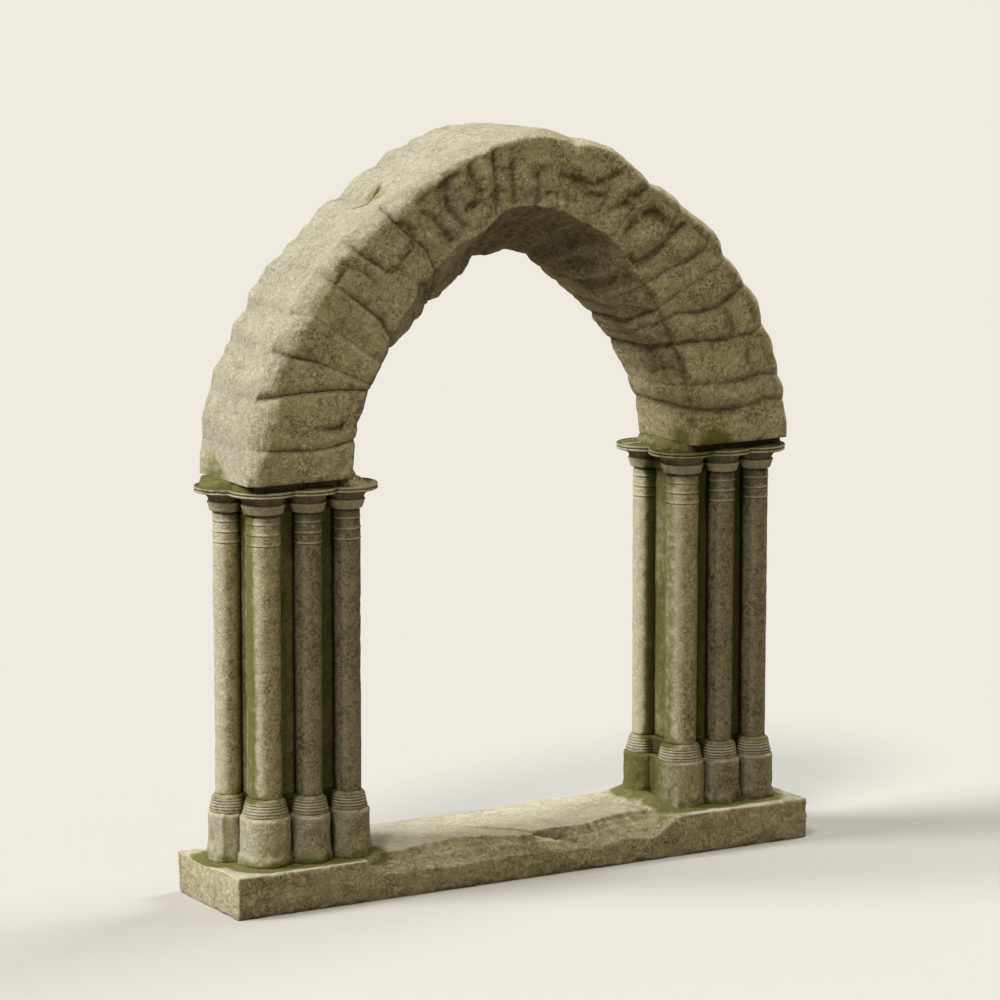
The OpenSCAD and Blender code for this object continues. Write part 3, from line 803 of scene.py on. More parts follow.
def build_ring():
    for side, joints in zip(SIDES, (LEFT_JOINTS, RIGHT_JOINTS)):
        for i, pair in enumerate(zip(joints, joints[1:])):
            ring_stone(side + (f"voussoir_{i}" if i else "springer"), *sorted(pair))
        if side == "left_":
            ring_stone("keystone", RIGHT_JOINTS[-1], LEFT_JOINTS[-1])


# ---------------------------------------------------------------- turned work of the piers
def pier_plan(side):
    """Places and radii of a pier's shafts, read from the frame."""
    plan = []
    for name in SHAFT_NAMES:
        lo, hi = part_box(side + name)
        plan.append(((lo.x + hi.x) / 2, (lo.y + hi.y) / 2, (hi.x - lo.x) / 2 - NECK_RING_OUT))
    return plan


def turned(profile, step, x, y, steps):
    """Spins a profile of (radius, z), cut into short runs, round an upright axis and closes it."""
    line = [profile[0]]
    for (r0, z0), (r1, z1) in zip(profile, profile[1:]):
        count = max(1, math.ceil(math.hypot(r1 - r0, z1 - z0) / step))
        line += [(r0 + (r1 - r0) * k / count, z0 + (z1 - z0) * k / count) for k in range(1, count + 1)]
    bm = bmesh.new()
    verts = [bm.verts.new((r, 0.0, z)) for r, z in line]
    edges = [bm.edges.new(pair) for pair in zip(verts, verts[1:])]
    bmesh.ops.spin(bm, geom=verts + edges, cent=(0, 0, 0), axis=(0, 0, 1),
                   angle=2 * math.pi, steps=steps, use_merge=True)
    bmesh.ops.remove_doubles(bm, verts=bm.verts, dist=1e-5)
    bmesh.ops.translate(bm, verts=bm.verts, vec=(x, y, 0))
    return bm


def block(lo, hi, step):
    """A plain block cut into small faces, ready to be worn."""
    size = [b - a for a, b in zip(lo, hi)]
    bm = bmesh.new()
    bmesh.ops.create_cube(bm, size=1.0)
    for axis, length in enumerate(size):
        cuts = round(length / step) - 1
        runs = [(e, e.verts[0].co - e.verts[1].co) for e in bm.edges]
        if cuts > 0:
            bmesh.ops.subdivide_edges(bm, edges=[e for e, run in runs if abs(run[axis]) > 0.5 * run.length],
                                      cuts=cuts, use_grid_fill=True)
    bmesh.ops.scale(bm, verts=bm.verts, vec=size)
    bmesh.ops.translate(bm, verts=bm.verts, vec=[(a + b) / 2 for a, b in zip(lo, hi)])
    return bm


def core_span(side):
    lo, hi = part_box(side + "core")
    return lo.x, hi.x


def wall_block(side, z0, z1, step, out=0.0):
    """A length of the wall behind the shafts, standing out by a little."""
    x0, x1 = core_span(side)
    return block((x0 - out, -CORE_HALF - out, z0), (x1 + out, CORE_HALF + out, z1), step)


def joined(*parts):
    """Several closed shapes as one."""
    whole = bmesh.new()
    for part in parts:
        outward(part)
        held = bpy.data.meshes.new("held")
        part.to_mesh(held)
        part.free()
        whole.from_mesh(held)
        bpy.data.meshes.remove(held)
    return whole


def near_core(s, side, reach):
    """1 at the core wall, falling to 0 at a distance from it."""
    x0, x1 = core_span(side)
    dx = np.maximum(np.maximum(x0 - s.x, s.x - x1), 0)
    dy = np.maximum(abs(s.y) - CORE_HALF, 0)
    return 1 - np.clip(np.hypot(dx, dy) / reach, 0, 1)


def creases(s, circles, reach):
    """1 where two neighbouring round parts meet, falling to 0 at a distance from there."""
    gaps = np.sort(abs(distances(s.x, s.y, circles)), axis=0)
    return 1 - np.clip(gaps[1] / reach, 0, 1)


def wider(plan, big, small):
    """A plan whose first circle grows by one amount and the others by another."""
    return [(x, y, r + (small if i else big)) for i, (x, y, r) in enumerate(plan)]


def shaft_stone(side, name, place):
    x, y, r = place
    profile = [(0.0, BASE_TOP), (r - 0.002, BASE_TOP)]
    rings = [SHAFT_TOP - FIRST_NECK_RING - NECK_RING_GAP * k for k in (2, 1, 0)]
    for z in rings:
        profile += [(r + out, z + up) for out, up in NECK_RING]
    profile += [(r, SHAFT_TOP - 0.011), (r - 0.006, SHAFT_TOP - 0.008), (r - 0.006, SHAFT_TOP),
                (0.0, SHAFT_TOP)]
    bm = turned(profile, SHAFT_FACE, x, y, SHAFT_SIDES)
    outward(bm)
    left = side == "left_"
    front_row = name.startswith("front")

    def shape(s):
        around = np.hypot(s.x - x, s.y - y) > 0.02
        return s.moved(weathering(s.p, 0.0013, 0.0008, 60 + round(abs(x) * 10)) * around)

    def paint(s):
        inward = near_core(s, side, 0.055)
        to_wall = np.clip(-s.nx * 0.5 + 0.5, 0, 1) if left else 0.8
        foot = ease(BASE_TOP + 0.05 - s.z, 0.05)
        top = ease(s.z - SHAFT_TOP + 0.10, 0.10) * 0.3
        moss = 0.14 * np.clip(s.lumps(0.24, 66), 0, 1)
        if name == "corner_shaft":
            sheltered = ease(s.ny + 0.66, 0.60) * ease(-s.nx - 0.2, 0.2) * (1.0 if left else 0.15)
            moss += sheltered * (0.50 + 0.30 * s.lumps(0.16, 67) + 0.15 * s.lumps(0.05, 68))
        moss += ease(inward * 1.3) * (0.6 + 0.4 * to_wall) + 0.55 * foot + top * inward
        # Painted shade: dark just under the bell, darker near the wall except on sides turned to the key
        # lamp, darker under the capital, and a dark line under each neck ring.
        neck = ease(s.z - SHAFT_TOP + 0.016, 0.006)
        lit_side = ease(-s.nx - 0.15, 0.45) * (name != "end_shaft")
        shade = 0.80 * ease(near_core(s, side, 0.085) - 0.35, 0.6) * (1 - 0.9 * lit_side)
        under = 0.30 * ease(s.z - SHAFT_TOP + 0.05, 0.05)
        lines = sum(hump(s.z - z + 0.0030, 0.0028) for z in rings)
        # Painted shadow: the front row is darker, most on its left sides, as in the big shaft's shadow; the
        # others are a little darker except on their far left. The right pier's shafts are a little darker all
        # over.
        dull = 0.66 + 0.32 * ease(-s.nx - 0.68, 0.15) if front_row else 0.04 * ease(s.nx + 0.95, 0.35)
        dirt_and_shade = 0.95 * neck + shade + under + 0.20 * lines + dull + (0.0 if left else 0.05)
        # Painted light on sides turned to the key lamp, except in the front row, and painted highlights on
        # the upper sides of the neck rings.
        lit = 0.48 * ease(-s.nx - 0.35, 0.5) * (not front_row)
        return moss, dirt_and_shade, lit + 0.85 * sum(hump(s.z - z - 0.0036, 0.0034) for z in rings), 1

    finish_piece(bm, side + name, SHAFT_STONE, paint, shape)


def bell_profile(r):
    """A light band, then a hollow moulding that runs out under the slab."""
    line = [(0.0, SHAFT_TOP)] + [(r + out, SHAFT_TOP + up) for out, up in BELL_BAND]
    for degrees in range(12, 91, 13):
        a = math.radians(degrees)
        line.append((r + 0.0165 + 0.0555 * (1 - math.cos(a)), SHAFT_TOP + 0.0440 + 0.0400 * math.sin(a)))
    return line + [(r + 0.074, CAPITAL_TOP), (0.0, CAPITAL_TOP)]


def capital_stone(side, plan):
    wall = wall_block(side, SHAFT_TOP + 0.001, CAPITAL_TOP - 0.001, WALL_FACE)
    bm = joined(*(turned(bell_profile(r), CARVED_FACE, x, y, BELL_SIDES) for x, y, r in plan), wall)

    def paint(s):
        height = s.z - SHAFT_TOP
        moss = 0.9 * ease(near_core(s, side, 0.07) * 1.2) + 0.28
        # Painted shade in the hollow moulding under the slab, along the bell's foot, near the wall and where
        # the bells meet.
        dirt_and_shade = 0.92 * ease(height - 0.0415, 0.004) + 0.8 * ease(0.003 - height, 0.004)
        dirt_and_shade += 0.7 * ease(near_core(s, side, 0.08) - 0.3, 0.6)
        dirt_and_shade += 0.7 * creases(s, wider(plan, 0.02, 0.02), 0.022)
        band = ease(height - 0.004, 0.006) * ease(0.042 - height, 0.003)
        # Painted highlight on the bell band and its upper edge.
        return moss, dirt_and_shade, 0.50 * hump(height - 0.0385, 0.0035) + 0.42 * band, 1

    finish_piece(bm, side + "capital", CARVED_STONE, paint,
                 lambda s: s.moved(weathering(s.p, 0.0012, 0.0008, 90)))


def base_profile(r, foot):
    """Four thin rings on a splayed shoulder, then a slope up to the shaft."""
    z = SOCLE_TOP
    line = [(0.0, z), (foot - 0.004, z), (foot - 0.002, z + 0.002), (r + 0.027, z + 0.013)]
    for k in range(4):
        face, low = r + 0.024 - 0.008 * k / 3, z + 0.014 + BASE_RING_STEP * k
        line += [(face + out, low + up) for out, up in BASE_RING]
    return line + [(r + 0.013, BASE_TOP - 0.013), (r + 0.005, BASE_TOP - 0.004), (r - 0.001, BASE_TOP),
                   (0.0, BASE_TOP)]


def base_stone(side, plan):
    parts = [turned(base_profile(r, foot), CARVED_FACE, x, y, BASE_SIDES)
             for (x, y, r), (_, _, foot) in zip(plan, wider(plan, *BASE_OUT))]
    bm = joined(*parts, wall_block(side, SOCLE_TOP + 0.001, BASE_TOP - 0.001, WALL_FACE))

    def paint(s):
        height = s.z - SOCLE_TOP
        moss = 0.9 * ease(near_core(s, side, 0.06) * 1.25) + 0.45 * ease(s.z - BASE_TOP + 0.022, 0.012) + 0.2
        phase = ((height - 0.0140) / BASE_RING_STEP) % 1.0
        # Painted shade in the grooves between the rings, where the bases meet, over the front row as in the
        # big shaft's shadow, and near the wall.
        groove = hump(np.minimum(phase, 1 - phase), 0.16) * (height > 0.010) * (height < 0.066)
        between = creases(s, wider(plan, 0.02, 0.02), 0.020)
        row = distances(s.x, s.y, plan[FRONT_ROW]).min(axis=0) < 0.032
        shade = 0.8 * ease(near_core(s, side, 0.075) - 0.3, 0.6)
        # Painted highlights on the rings' crowns.
        lips_and_highlights = 0.45 * hump(phase - 0.55, 0.20) * (height > 0.012) * (height < 0.066)
        return moss, shade + 0.60 * groove + 0.7 * between + 0.30 * row, lips_and_highlights, 1

    finish_piece(bm, side + "base_course", CARVED_STONE, paint,
                 lambda s: s.moved(weathering(s.p, 0.0014, 0.0009, 120)), (3.6, 3.0))


def socle_stone(side, plan):
    """Drums under the shafts, joined by a recessed web; the left end drum is eight-sided."""
    right = side == "right_"
    z0, z1 = SILL_TOP, SOCLE_TOP
    flare = 0.007 if right else 0.004
    drums = wider(plan, *DRUM_OUT)
    parts = []
    for i, (x, y, drum) in enumerate(drums):
        line = [(0.0, z0), (drum + flare, z0), (drum + flare, z0 + 0.012), (drum + flare * 0.4, z0 + 0.035),
                (drum - 0.001, z0 + 0.07), (drum - 0.001, z1 - 0.013), (drum - 0.002, z1 - 0.008),
                (drum - 0.009, z1 - 0.001), (drum - 0.012, z1), (0.0, z1)]
        if right or i != END_SHAFT:
            part = turned(line, DRUM_FACE, x, y, DRUM_SIDES)
        else:
            part = turned(line, EIGHT_SIDED_FACE, x, y, 8)
            level = []
            for e in part.edges:
                first, second = (math.hypot(v.co.x - x, v.co.y - y) for v in e.verts)
                if abs(e.verts[0].co.z - e.verts[1].co.z) < 1e-4 and abs(first - second) < 1e-4:
                    level.append(e)
            bmesh.ops.subdivide_edges(part, edges=level, cuts=EIGHT_SIDED_CUTS, use_grid_fill=True)
        parts.append(part)
    bm = joined(*parts, wall_block(side, z0 + 0.0005, z1 - 0.0015, WEB_FACE, WEB_OUT))

    def shape(s):
        rise = weathering(s.p, 0.0030, 0.0014, 150) + 0.0022 * s.lumps(0.055, 155)
        low = ease(z0 + 0.085 - s.z, 0.05)
        broken = s.lumps(0.045, 171) + 0.6 * s.lumps(0.021, 172)
        pieces = ease(s.lumps(0.052, 173) - 0.05, 0.12) - 0.45
        rise += low * broken * (0.0060 if right else 0.0035)
        rise += low * pieces * (0.0090 if right else 0.0060) * ease(s.z - z0 + 0.002, 0.006)
        chip = ease(z1 + 0.002 - s.z, 0.004) * ease(s.z - z1 + 0.03, 0.02)
        rise -= chip * 0.006 * ease(s.lumps(0.05, 180) - 0.10, 0.4)
        top = s.nz > 0.8
        rise = np.where(top, rise * 0.4, np.where(s.nz < -0.8, 0.0, rise))
        moved = s.moved(rise)
        moved[:, 2] += top * ease(s.z - z1 + 0.02, 0.01) * np.minimum(0.0020 * s.lumps(0.05, 185), 0.0012)
        return moved

    def paint(s):
        foot = ease(z0 + 0.055 - s.z, 0.05) * ease(s.lumps(0.08, 186) + 0.7, 0.8)
        moss = 0.75 * foot + 0.55 * ease(near_core(s, side, 0.08) - 0.2, 0.5) + 0.16
        if right:
            moss += ease(0.05 - (s.x - plan[0][0]), 0.09) * ease(0.42 - abs(s.y - 0.16), 0.26)
        # Painted shade near the wall, between the drums, and over the front row as in the big shaft's shadow;
        # the right socle is a little darker all over.
        gap = ease(near_core(s, side, 0.07) - 0.35, 0.5)
        between = creases(s, drums, 0.030) * (s.nz < 0.7)
        row = distances(s.x, s.y, drums[FRONT_ROW]).min(axis=0) < 0.012
        dirt_and_shade = 0.5 * gap * (s.nz < 0.5) + 0.90 * between + (0.20 if right else 0.0) + 0.40 * row
        # The drums' top edges are pale with wear and a painted highlight.
        lips_and_highlights = 0.55 * hump(s.z - z1 + 0.009, 0.007) * (1 - creases(s, drums, 0.05))
        return moss, dirt_and_shade, lips_and_highlights * (0.75 + 0.5 * s.lumps(0.04, 187)), 1

    finish_piece(bm, side + "socle", CARVED_STONE, paint, shape, (2.4, 3.4))


def core_stone(side, plan):
    """The rubble wall behind the shafts, scooped where the shafts stand against it."""
    x0, x1 = core_span(side)
    left = side == "left_"
    if not left:
        x0 += 0.018
    bm = joined(block((x0, -CORE_HALF, BASE_TOP), (x1, CORE_HALF, SHAFT_TOP), CORE_FACE))

    def shape(s):
        sides = abs(s.nz) < 0.9
        rise = weathering(s.p, 0.0022, 0.0013, 200) * sides
        moved = s.moved(rise - 0.002 * sides)
        for x, y, r in plan:
            gap = r + SHAFT_CLEARANCE
            dx, dy = moved[:, 0] - x, moved[:, 1] - y
            far = np.hypot(dx, dy)
            inside = far < gap
            if abs(y) > CORE_HALF - 0.02:
                side_y = y - math.copysign(1, y) * np.sqrt(np.maximum(gap * gap - dx * dx, 0))
                moved[inside, 1] = (side_y + SCOOP_KEPT * (moved[:, 1] - side_y))[inside]
            else:
                push = 1 + (1 - SCOOP_KEPT) * (gap / np.maximum(far, 1e-4) - 1)
                moved[inside, 0] = (x + dx * push)[inside]
                moved[inside, 1] = (y + dy * push)[inside]
        return moved

    def paint(s):
        # Painted shade: the wall is darker where it stands back between the shafts, most where they meet it,
        # with some random tone.
        line = 0.55 * ease(1 - distances(s.x, s.y, plan).min(axis=0) / 0.020)
        end = (s.x < x0 + 0.012) & (s.y > -0.07)
        dark = 0.40 + 0.2 * ease(s.lumps(0.11, 211)) + line
        moss = (0.70 if left else 0.88) + 0.20 * s.lumps(0.18, 210)
        # The left end face is painted light instead; the right one keeps most of the painted shade.
        return moss, np.where(end, (0.05 if left else 0.90) * dark, dark), np.where(end & left, 0.95, 0.0), 1

    finish_piece(bm, side + "core", CORE_STONE, paint, shape)


# ---------------------------------------------------------------- the abaci
def lobed_outline(circles, centre, box, count):
    """The outer edge of overlapping circles and a block, seen from a centre, evenly spaced."""
    a = np.linspace(0, 2 * math.pi, 1440, endpoint=False)
    ways = np.stack([np.cos(a), np.sin(a)])
    x0, x1, y0, y1 = box
    reach = np.full(len(a), 9.0)
    for way, low, high, middle in zip(ways, (x0, y0), (x1, y1), centre):
        reach = np.minimum(reach, np.where(way > 0, (high - middle) / np.maximum(way, 1e-9),
                                           (low - middle) / np.minimum(way, -1e-9)))
    for x, y, r in circles:
        dx, dy = x - centre[0], y - centre[1]
        along = ways[0] * dx + ways[1] * dy
        off = r * r - (dx * dx + dy * dy - along * along)
        reach = np.maximum(reach, np.where(off > 0, along + np.sqrt(np.maximum(off, 0)), 0))
    line = np.stack([middle + way * reach for middle, way in zip(centre, ways)], axis=1)
    closed = np.concatenate([line, line[:1]])
    along = np.concatenate([[0], np.cumsum(np.linalg.norm(closed[1:] - line, axis=1))])
    want = np.linspace(0, along[-1], count, endpoint=False)
    return np.stack([np.interp(want, along, part) for part in closed.T], axis=1)


def abacus_stone(side, plan):
    """The lobed slab with two fillets, its dished and mossy top, and the bed under the springer."""
    z0 = CAPITAL_TOP
    z1 = z0 + RIM_HEIGHT
    lo, hi = core_span(side)
    left = side == "left_"
    sign = -1 if left else 1
    seat0, seat1 = sorted((sign * (RING_INNER + SEAT_INSET), sign * (RING_OUTER - SEAT_INSET)))
    seat_y = RING_HALF - SEAT_INSET
    centre = ((lo + hi) / 2, 0.0)
    lines = []
    for out, z in [(out, z0 + up) for out, up in ABACUS_EDGE] + [(out, z1 + up) for out, up in ABACUS_RIM]:
        circles = [(x, y, r + out) for x, y, r in plan]
        box = (lo - WEB_OUT, hi + WEB_OUT, -CORE_HALF - WEB_OUT, CORE_HALF + WEB_OUT)
        lines.append((lobed_outline(circles, centre, box, ABACUS_COLUMNS), z))
    line, z = lines[-1]
    lines += [(centre + (line - centre) * (1 - 0.026 * k), z) for k in range(1, 21)]
    bm, column, row = tube_of(ABACUS_COLUMNS, len(lines))
    for v in bm.verts:
        line, z = lines[v[row]]
        v.co = (*line[v[column]], z)
    for e in bm.edges:
        e.smooth = True
    bm = joined(bm, block((seat0, -seat_y, z1 - 0.012), (seat1, seat_y, SPRING_Z), WEB_FACE))

    def seat_distance(s):
        dx = np.maximum(np.maximum(seat0 - s.x, s.x - seat1), 0)
        return np.hypot(dx, np.maximum(abs(s.y) - seat_y, 0))

    def shape(s):
        top = (s.z < z1 - 0.0045) & (s.nz > 0.6) & (s.z > z1 - 0.006)
        far = seat_distance(s)
        start, fall = (0.078, 0.068) if left else (0.038, 0.020)
        slope = 0.0390 * (1 - ease(far - start, fall))
        to_end = ease(sign * s.x - RING_OUTER + 0.075, 0.05)
        front = ease(-s.y - seat_y, 0.02)
        if left:
            into_opening = ease(RING_INNER + 0.055 - sign * s.x, 0.05)
            filled = np.maximum(to_end, into_opening * (1 - 0.5 * front))
        else:
            filled = np.maximum(to_end * (1 - front), ease(RING_INNER + 0.21 - s.x, 0.06))
        fillet = np.maximum(0.010 * (1 - ease(far, 0.06)), slope * filled)
        if left:
            daub = 0.078 * ease(1 - (s.x + RING_INNER + 0.012) / 0.085) * (s.x > -RING_INNER - 0.05)
            daub *= ease(s.y + 0.262, 0.05) * (1 + 0.25 * s.lumps(0.05, 245))
            fillet = np.maximum(fillet, daub)
        fillet += 0.0035 * s.lumps(0.06, 240) * ease(far, 0.03)
        bedded = s.z > z1 + 0.0005
        bed_rise = -abs(weathering(s.p, 0.004, 0.002, 260)) - 0.002
        rise = np.where(bedded, bed_rise, weathering(s.p, 0.0008, 0.0007, 250))
        rise = np.where(bedded & (s.nz > 0.5), -0.0005, rise)
        raised = s.p.copy()
        raised[top, 2] += fillet[top]
        return raised + s.n * rise[:, None]

    def paint(s):
        far = seat_distance(s)
        height = s.z - z0
        up = ease(s.nz - 0.35, 0.4) * (height > 0.02)
        foot = 0.40 * ease(0.070 - far, 0.02) * (s.z > z1 - 0.004)
        moss = (0.74 * up + 0.25 + moss_spots(s.p, ABACUS_MOSS) + foot) * (1 - moss_spots(s.p, ABACUS_BARE))
        # Painted shade in the groove between the fillets, on the bed under the springer and along the slab's
        # foot; painted shadow of the springer on the top just in front of it, and over the front half of the
        # right abacus's top.
        groove = (height > 0.0085) & (height < 0.0145) & (abs(s.nz) < 0.9)
        under = 0.8 * ((s.z > z1 + 0.0005) & (s.nz < 0.5) & (far < 0.004))
        recess = 0.75 * ease(0.055 - far, 0.03) * ease(-s.y - 0.16, 0.03)
        if not left:
            recess = np.maximum(recess, 0.75 * ease(-s.y - 0.02, 0.06) * (s.nz > 0.5))
        recess = recess * (s.z < z1 + 0.035) * (s.z > z1 - 0.007)
        # Painted highlights on the two fillets; none on the top.
        edge = hump(height - 0.0050, 0.0030) + hump(height - 0.0210, 0.0042)
        lips_and_highlights = np.where(s.z > z1 - 0.004, -1.0, 0.60 * edge * (abs(s.nz) < 0.95))
        return moss, 0.95 * groove + under + 0.8 * (height < 0.0015) + recess, lips_and_highlights, 1

    finish_piece(bm, side + "abacus", CARVED_STONE, paint, shape, (2.6, 3.6))


# ---------------------------------------------------------------- the sill
def wear_lines(x):
    """Where the worn slope starts on the top and ends on the front, with its chipped edges."""
    at = np.stack([x, x * 0, x * 0], axis=1)
    chips = 0.011 * lumps(at, 0.070, 300) + 0.010 * lumps(at, 0.028, 303)
    low = reading(WEAR_FRONT, x) + 0.006 * lumps(at, 0.09, 301) + 0.003 * lumps(at, 0.03, 304)
    return reading(WEAR_TOP, x) + chips, np.minimum(low, SILL_TOP)


def sill_stone(plans):
    lo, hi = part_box("sill")
    low_corner, high_corner = np.array(lo), np.array(hi)
    bm = block(lo, hi, SILL_FACE)
    outward(bm)
    drums = [circle for plan in plans for circle in wider(plan, *DRUM_OUT)]

    def shape(s):
        top, low = wear_lines(s.x)
        run = np.maximum(top - lo.y, 1e-4)
        drop = np.maximum(hi.z - low, 1e-4)
        on_top = (s.z > hi.z - 1e-4) & (s.y < top)
        on_front = (s.y < lo.y + 1e-4) & (s.z > low) & (s.z < hi.z - 1e-4)
        way = np.where(on_top, top - s.y, run + hi.z - s.z) / (run + drop)
        worn = (on_top | on_front) & (run > 0.004) & (drop > 0.003)
        p = s.p.copy()
        p[:, 1] = np.where(worn, top - run * way, s.y)
        p[:, 2] = np.where(worn, hi.z - drop * reading(WEAR_FALL, way), s.z)
        round_off = 0.010 + 0.006 * lumps(p, 0.06, 302) + 0.010 * ease(lumps(p, 0.045, 305) - 0.25, 0.3)
        centre = (low_corner + high_corner) / 2
        inner = ((high_corner - low_corner) / 2)[None, :] - round_off[:, None]
        core = np.clip(p - centre, -inner, inner)
        out = p - centre - core
        length = np.linalg.norm(out, axis=1)
        many = (abs(out) > 1e-6).sum(axis=1) > 1
        scale = np.where(many & (length > round_off), round_off / np.maximum(length, 1e-6), 1.0)
        p = centre + core + out * scale[:, None]
        x, y, z = p.T
        far = distances(x, y, drums).min(axis=0)
        up = (s.nz > 0.5) & (z > hi.z - 0.03) & ~worn
        inward = ease(0.97 - x, 0.16) * (x > 0.5) * ease(y + 0.20, 0.12)
        bank = 0.006 * hump(far, 0.025) + 0.034 * inward * hump(np.maximum(far, 0), 0.068)
        pool = ease(0.11 - far, 0.06) * ease(y - lo.y - 0.012, 0.03)
        bank -= 0.006 * pool * ease(0.3 - abs(y), 0.03) * (x < 0)
        p[:, 2] += np.where(up, bank, 0)
        crack = far_from_line(x, y, SILL_CRACK)
        ledge = ease(x + 0.153, 0.12) * ease(0.24 - x, 0.08) * (y < reading(SILL_CRACK, x))
        step = 0.009 * ease(1 - crack / 0.11) * ledge
        p[:, 2] -= np.where((s.nz > 0.5) | worn, step + 0.016 * hump(crack, 0.0085), 0)
        rise = weathering(p, 0.0026, 0.0012, 310)
        front = (s.ny < -0.5) | (s.nx < -0.5)
        carved = 0.0062 * lumps(p * (0.5, 0.5, 1), 0.040, 320) + 0.0024 * lumps(p, 0.022, 321) - 0.002
        rise += np.where(front & ~worn, carved, 0)
        broken = 0.0060 * lumps(p, 0.045, 322) + 0.0032 * lumps(p, 0.022, 323) + 0.003 * lumps(p, 0.09, 324)
        rise += np.where(worn, broken * ease(way, 0.15), 0)
        rise = np.where(s.nz < -0.5, 0, np.where(up, rise * 0.6, rise))
        p += s.n * rise[:, None]
        uneven = ease(0.020 - z, 0.02) * (abs(s.nz) < 0.9)
        p[:, 1] += uneven * front * 0.004 * (1 + lumps(p * (1, 0, 0), 0.05, 325))
        return np.clip(p, low_corner + (0.0003, 0.0003, 0.0), high_corner + (-0.0003, -0.0003, 0.05))

    def paint(s):
        far = distances(s.x, s.y, drums).min(axis=0)
        crack = far_from_line(s.x, s.y, SILL_CRACK)
        upright = ease(s.nz - 0.55, 0.3)
        top, low = wear_lines(s.x)
        run = top - lo.y
        worn = (run > 0.004) & (s.z > low - 0.002) & (s.y < top)
        share = np.where(worn, np.clip((top - s.y) / np.maximum(run, 1e-4), 0, 1), 0)
        shelf = ease(1.5 - crack / 0.030) * (s.y < reading(SILL_CRACK, s.x)) * (s.z > 0.10)
        shelf *= ease(s.x + 0.10, 0.08) * ease(0.22 - s.x, 0.10)

        near = np.where(s.x < 0, 1.05 * ease(0.115 - far, 0.07), 0.95 * ease(0.090 - far, 0.07)) * upright
        lawn = 0.40 * ease(s.x - 0.55, 0.2) * ease(1.1 - s.x, 0.2) * upright
        rim = ease(s.y - lo.y - 0.025, 0.03)
        stain = 0.40 * ease(0.10 - s.z, 0.06) * ease(1 - abs(s.x + 0.05) / 0.45)
        moss = near * (0.25 + 0.75 * rim) + lawn * rim + 0.14 + stain

        # The worn slope is darker brown, partly its own colour and partly painted shade, except on the shelf
        # in front of the crack. The front face is darker, more so towards the left end, and the stone is
        # darker towards the bottom; the crack is dark, and flat tops off the slope are painted a little
        # lighter.
        slope = ease(share, 0.03) * (0.24 + 0.12 * ease(0.20 - share, 0.1) + 0.26 * s.lumps(0.06, 330))
        front = (0.12 + 0.10 * ease(-s.x - 0.6, 0.3)) * (s.ny < -0.5) * (1 + s.lumps(0.07, 331))
        foot = 0.18 * ease(0.07 - s.z, 0.04)
        dirt_and_shade = 0.95 * hump(crack, 0.0095) * (s.nz > 0.2) - 0.10 * upright * (share < 0.02)
        dirt_and_shade += slope * (1 - 0.9 * shelf) + front + foot

        # Painted highlights on the brink of the slope, on its ledge and on the shelf in front of the crack;
        # the arrises are pale with wear and painted highlights.
        brink = hump(s.y - top - 0.004, 0.007) * (run > 0.01) * (s.z > SILL_TOP - 0.02)
        ledge = 0.80 * hump(share - 0.44, 0.06) * (0.6 + s.lumps(0.08, 332))
        ahead, left, right, above = s.y - lo.y, s.x - lo.x, s.x - hi.x, s.z - hi.z
        edge = hump(np.hypot(ahead, above), 0.012) + hump(np.hypot(left, above), 0.012)
        edge += 0.8 * (hump(np.hypot(ahead, left), 0.011) + hump(np.hypot(ahead, right), 0.011))
        lips_and_highlights = 0.7 * brink + ledge + 0.60 * edge * (0.7 + 0.6 * s.lumps(0.05, 333))
        lips_and_highlights += 0.9 * shelf * (crack > 0.010)
        # Less painted light on the left end face and on the worn slope, except on the shelf.
        key_lit_share = (1 - 0.66 * (s.nx < -0.6)) * (1 - 0.85 * ease(share, 0.04) * (1 - shelf))
        return moss, dirt_and_shade, lips_and_highlights, key_lit_share

    finish_piece(bm, "sill", SILL_STONE, paint, shape, (2.6, 2.6))


# ---------------------------------------------------------------- building
plans = [pier_plan(side) for side in SIDES]
build_ring()
for side, plan in zip(SIDES, plans):
    for stone in (socle_stone, base_stone, core_stone, capital_stone, abacus_stone):
        stone(side, plan)
    for name, place in zip(SHAFT_NAMES, plan):
        shaft_stone(side, name, place)
sill_stone(plans)


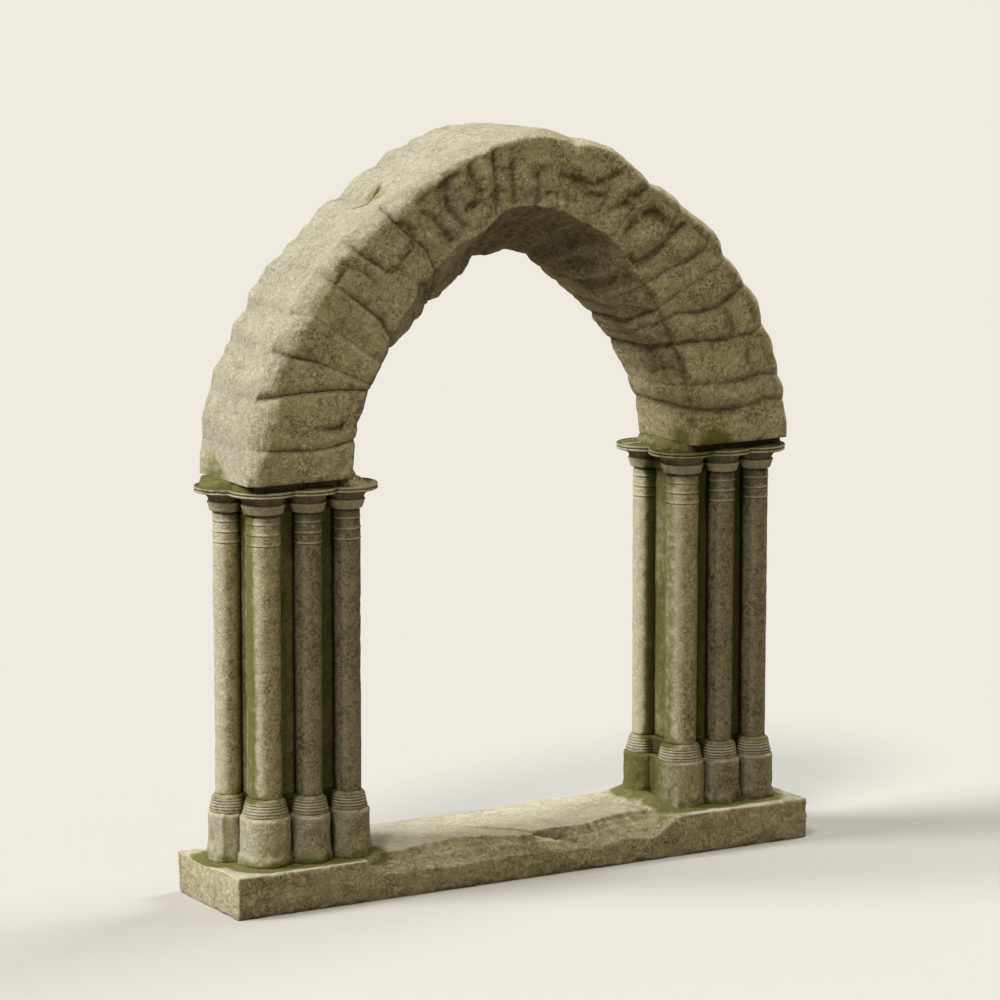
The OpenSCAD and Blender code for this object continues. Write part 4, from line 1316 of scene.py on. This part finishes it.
# ---------------------------------------------------------------- floor, light and camera
def floor_finish():
    """Pale where it is looked at, and duller where it only throws light back."""
    f = Finish("studio_floor")
    seen = f.add("LightPath", None, "Is Camera Ray")
    pale = f.add("BsdfDiffuse", {"Color": (0.48, 0.475, 0.465, 1)})
    dull = f.add("BsdfDiffuse", {"Color": (0.26, 0.24, 0.19, 1)})
    f.add("OutputMaterial", {"Surface": f.add("MixShader", {0: seen, 1: dull, 2: pale})})
    return f.material


bpy.ops.mesh.primitive_plane_add(size=400.0, location=(0.0, 0.0, 0.0))
floor = bpy.context.object
floor.name = "studio_floor"
floor.data.materials.append(floor_finish())

world = bpy.data.worlds.new("studio")
bpy.context.scene.world = world
world.use_nodes = True
world.node_tree.nodes["Background"].inputs["Color"].default_value = (1.0, 0.95, 0.78, 1)
world.node_tree.nodes["Background"].inputs["Strength"].default_value = 0.25


def sun(name, azimuth, elevation, strength, spread, colour):
    """A soft lamp from a compass direction; azimuth 0 shines from the front, 90 from the left."""
    lamp = bpy.data.lights.new(name, "SUN")
    lamp.energy = strength
    lamp.angle = math.radians(spread)
    lamp.color = colour
    obj = bpy.data.objects.new(name, lamp)
    bpy.context.scene.collection.objects.link(obj)
    a, e = math.radians(azimuth), math.radians(elevation)
    source = Vector((-math.sin(a) * math.cos(e), -math.cos(a) * math.cos(e), math.sin(e)))
    obj.rotation_mode = "QUATERNION"
    obj.rotation_quaternion = source.to_track_quat("Z", "Y")


sun("key_lamp", 106.0, 39.0, 3.65, 24.0, (1.0, 0.985, 0.965))
sun("front_lamp", 54.0, 54.0, 1.45, 14.0, (1.0, 0.93, 0.74))
sun("rear_lamp", 262.0, 44.0, 2.00, 24.0, (1.0, 0.985, 0.965))

camera = bpy.data.cameras.new("studio_camera")
camera.lens = 162.7
camera.sensor_width = 36.0
camera_object = bpy.data.objects.new("studio_camera", camera)
camera_object.location = (-10.1875, -17.45, 5.20)
camera_object.rotation_euler = (math.radians(80.17), 0.0, math.radians(-30.28))
bpy.context.scene.collection.objects.link(camera_object)
bpy.context.scene.camera = camera_object
bpy.context.scene.view_settings.view_transform = "Standard"
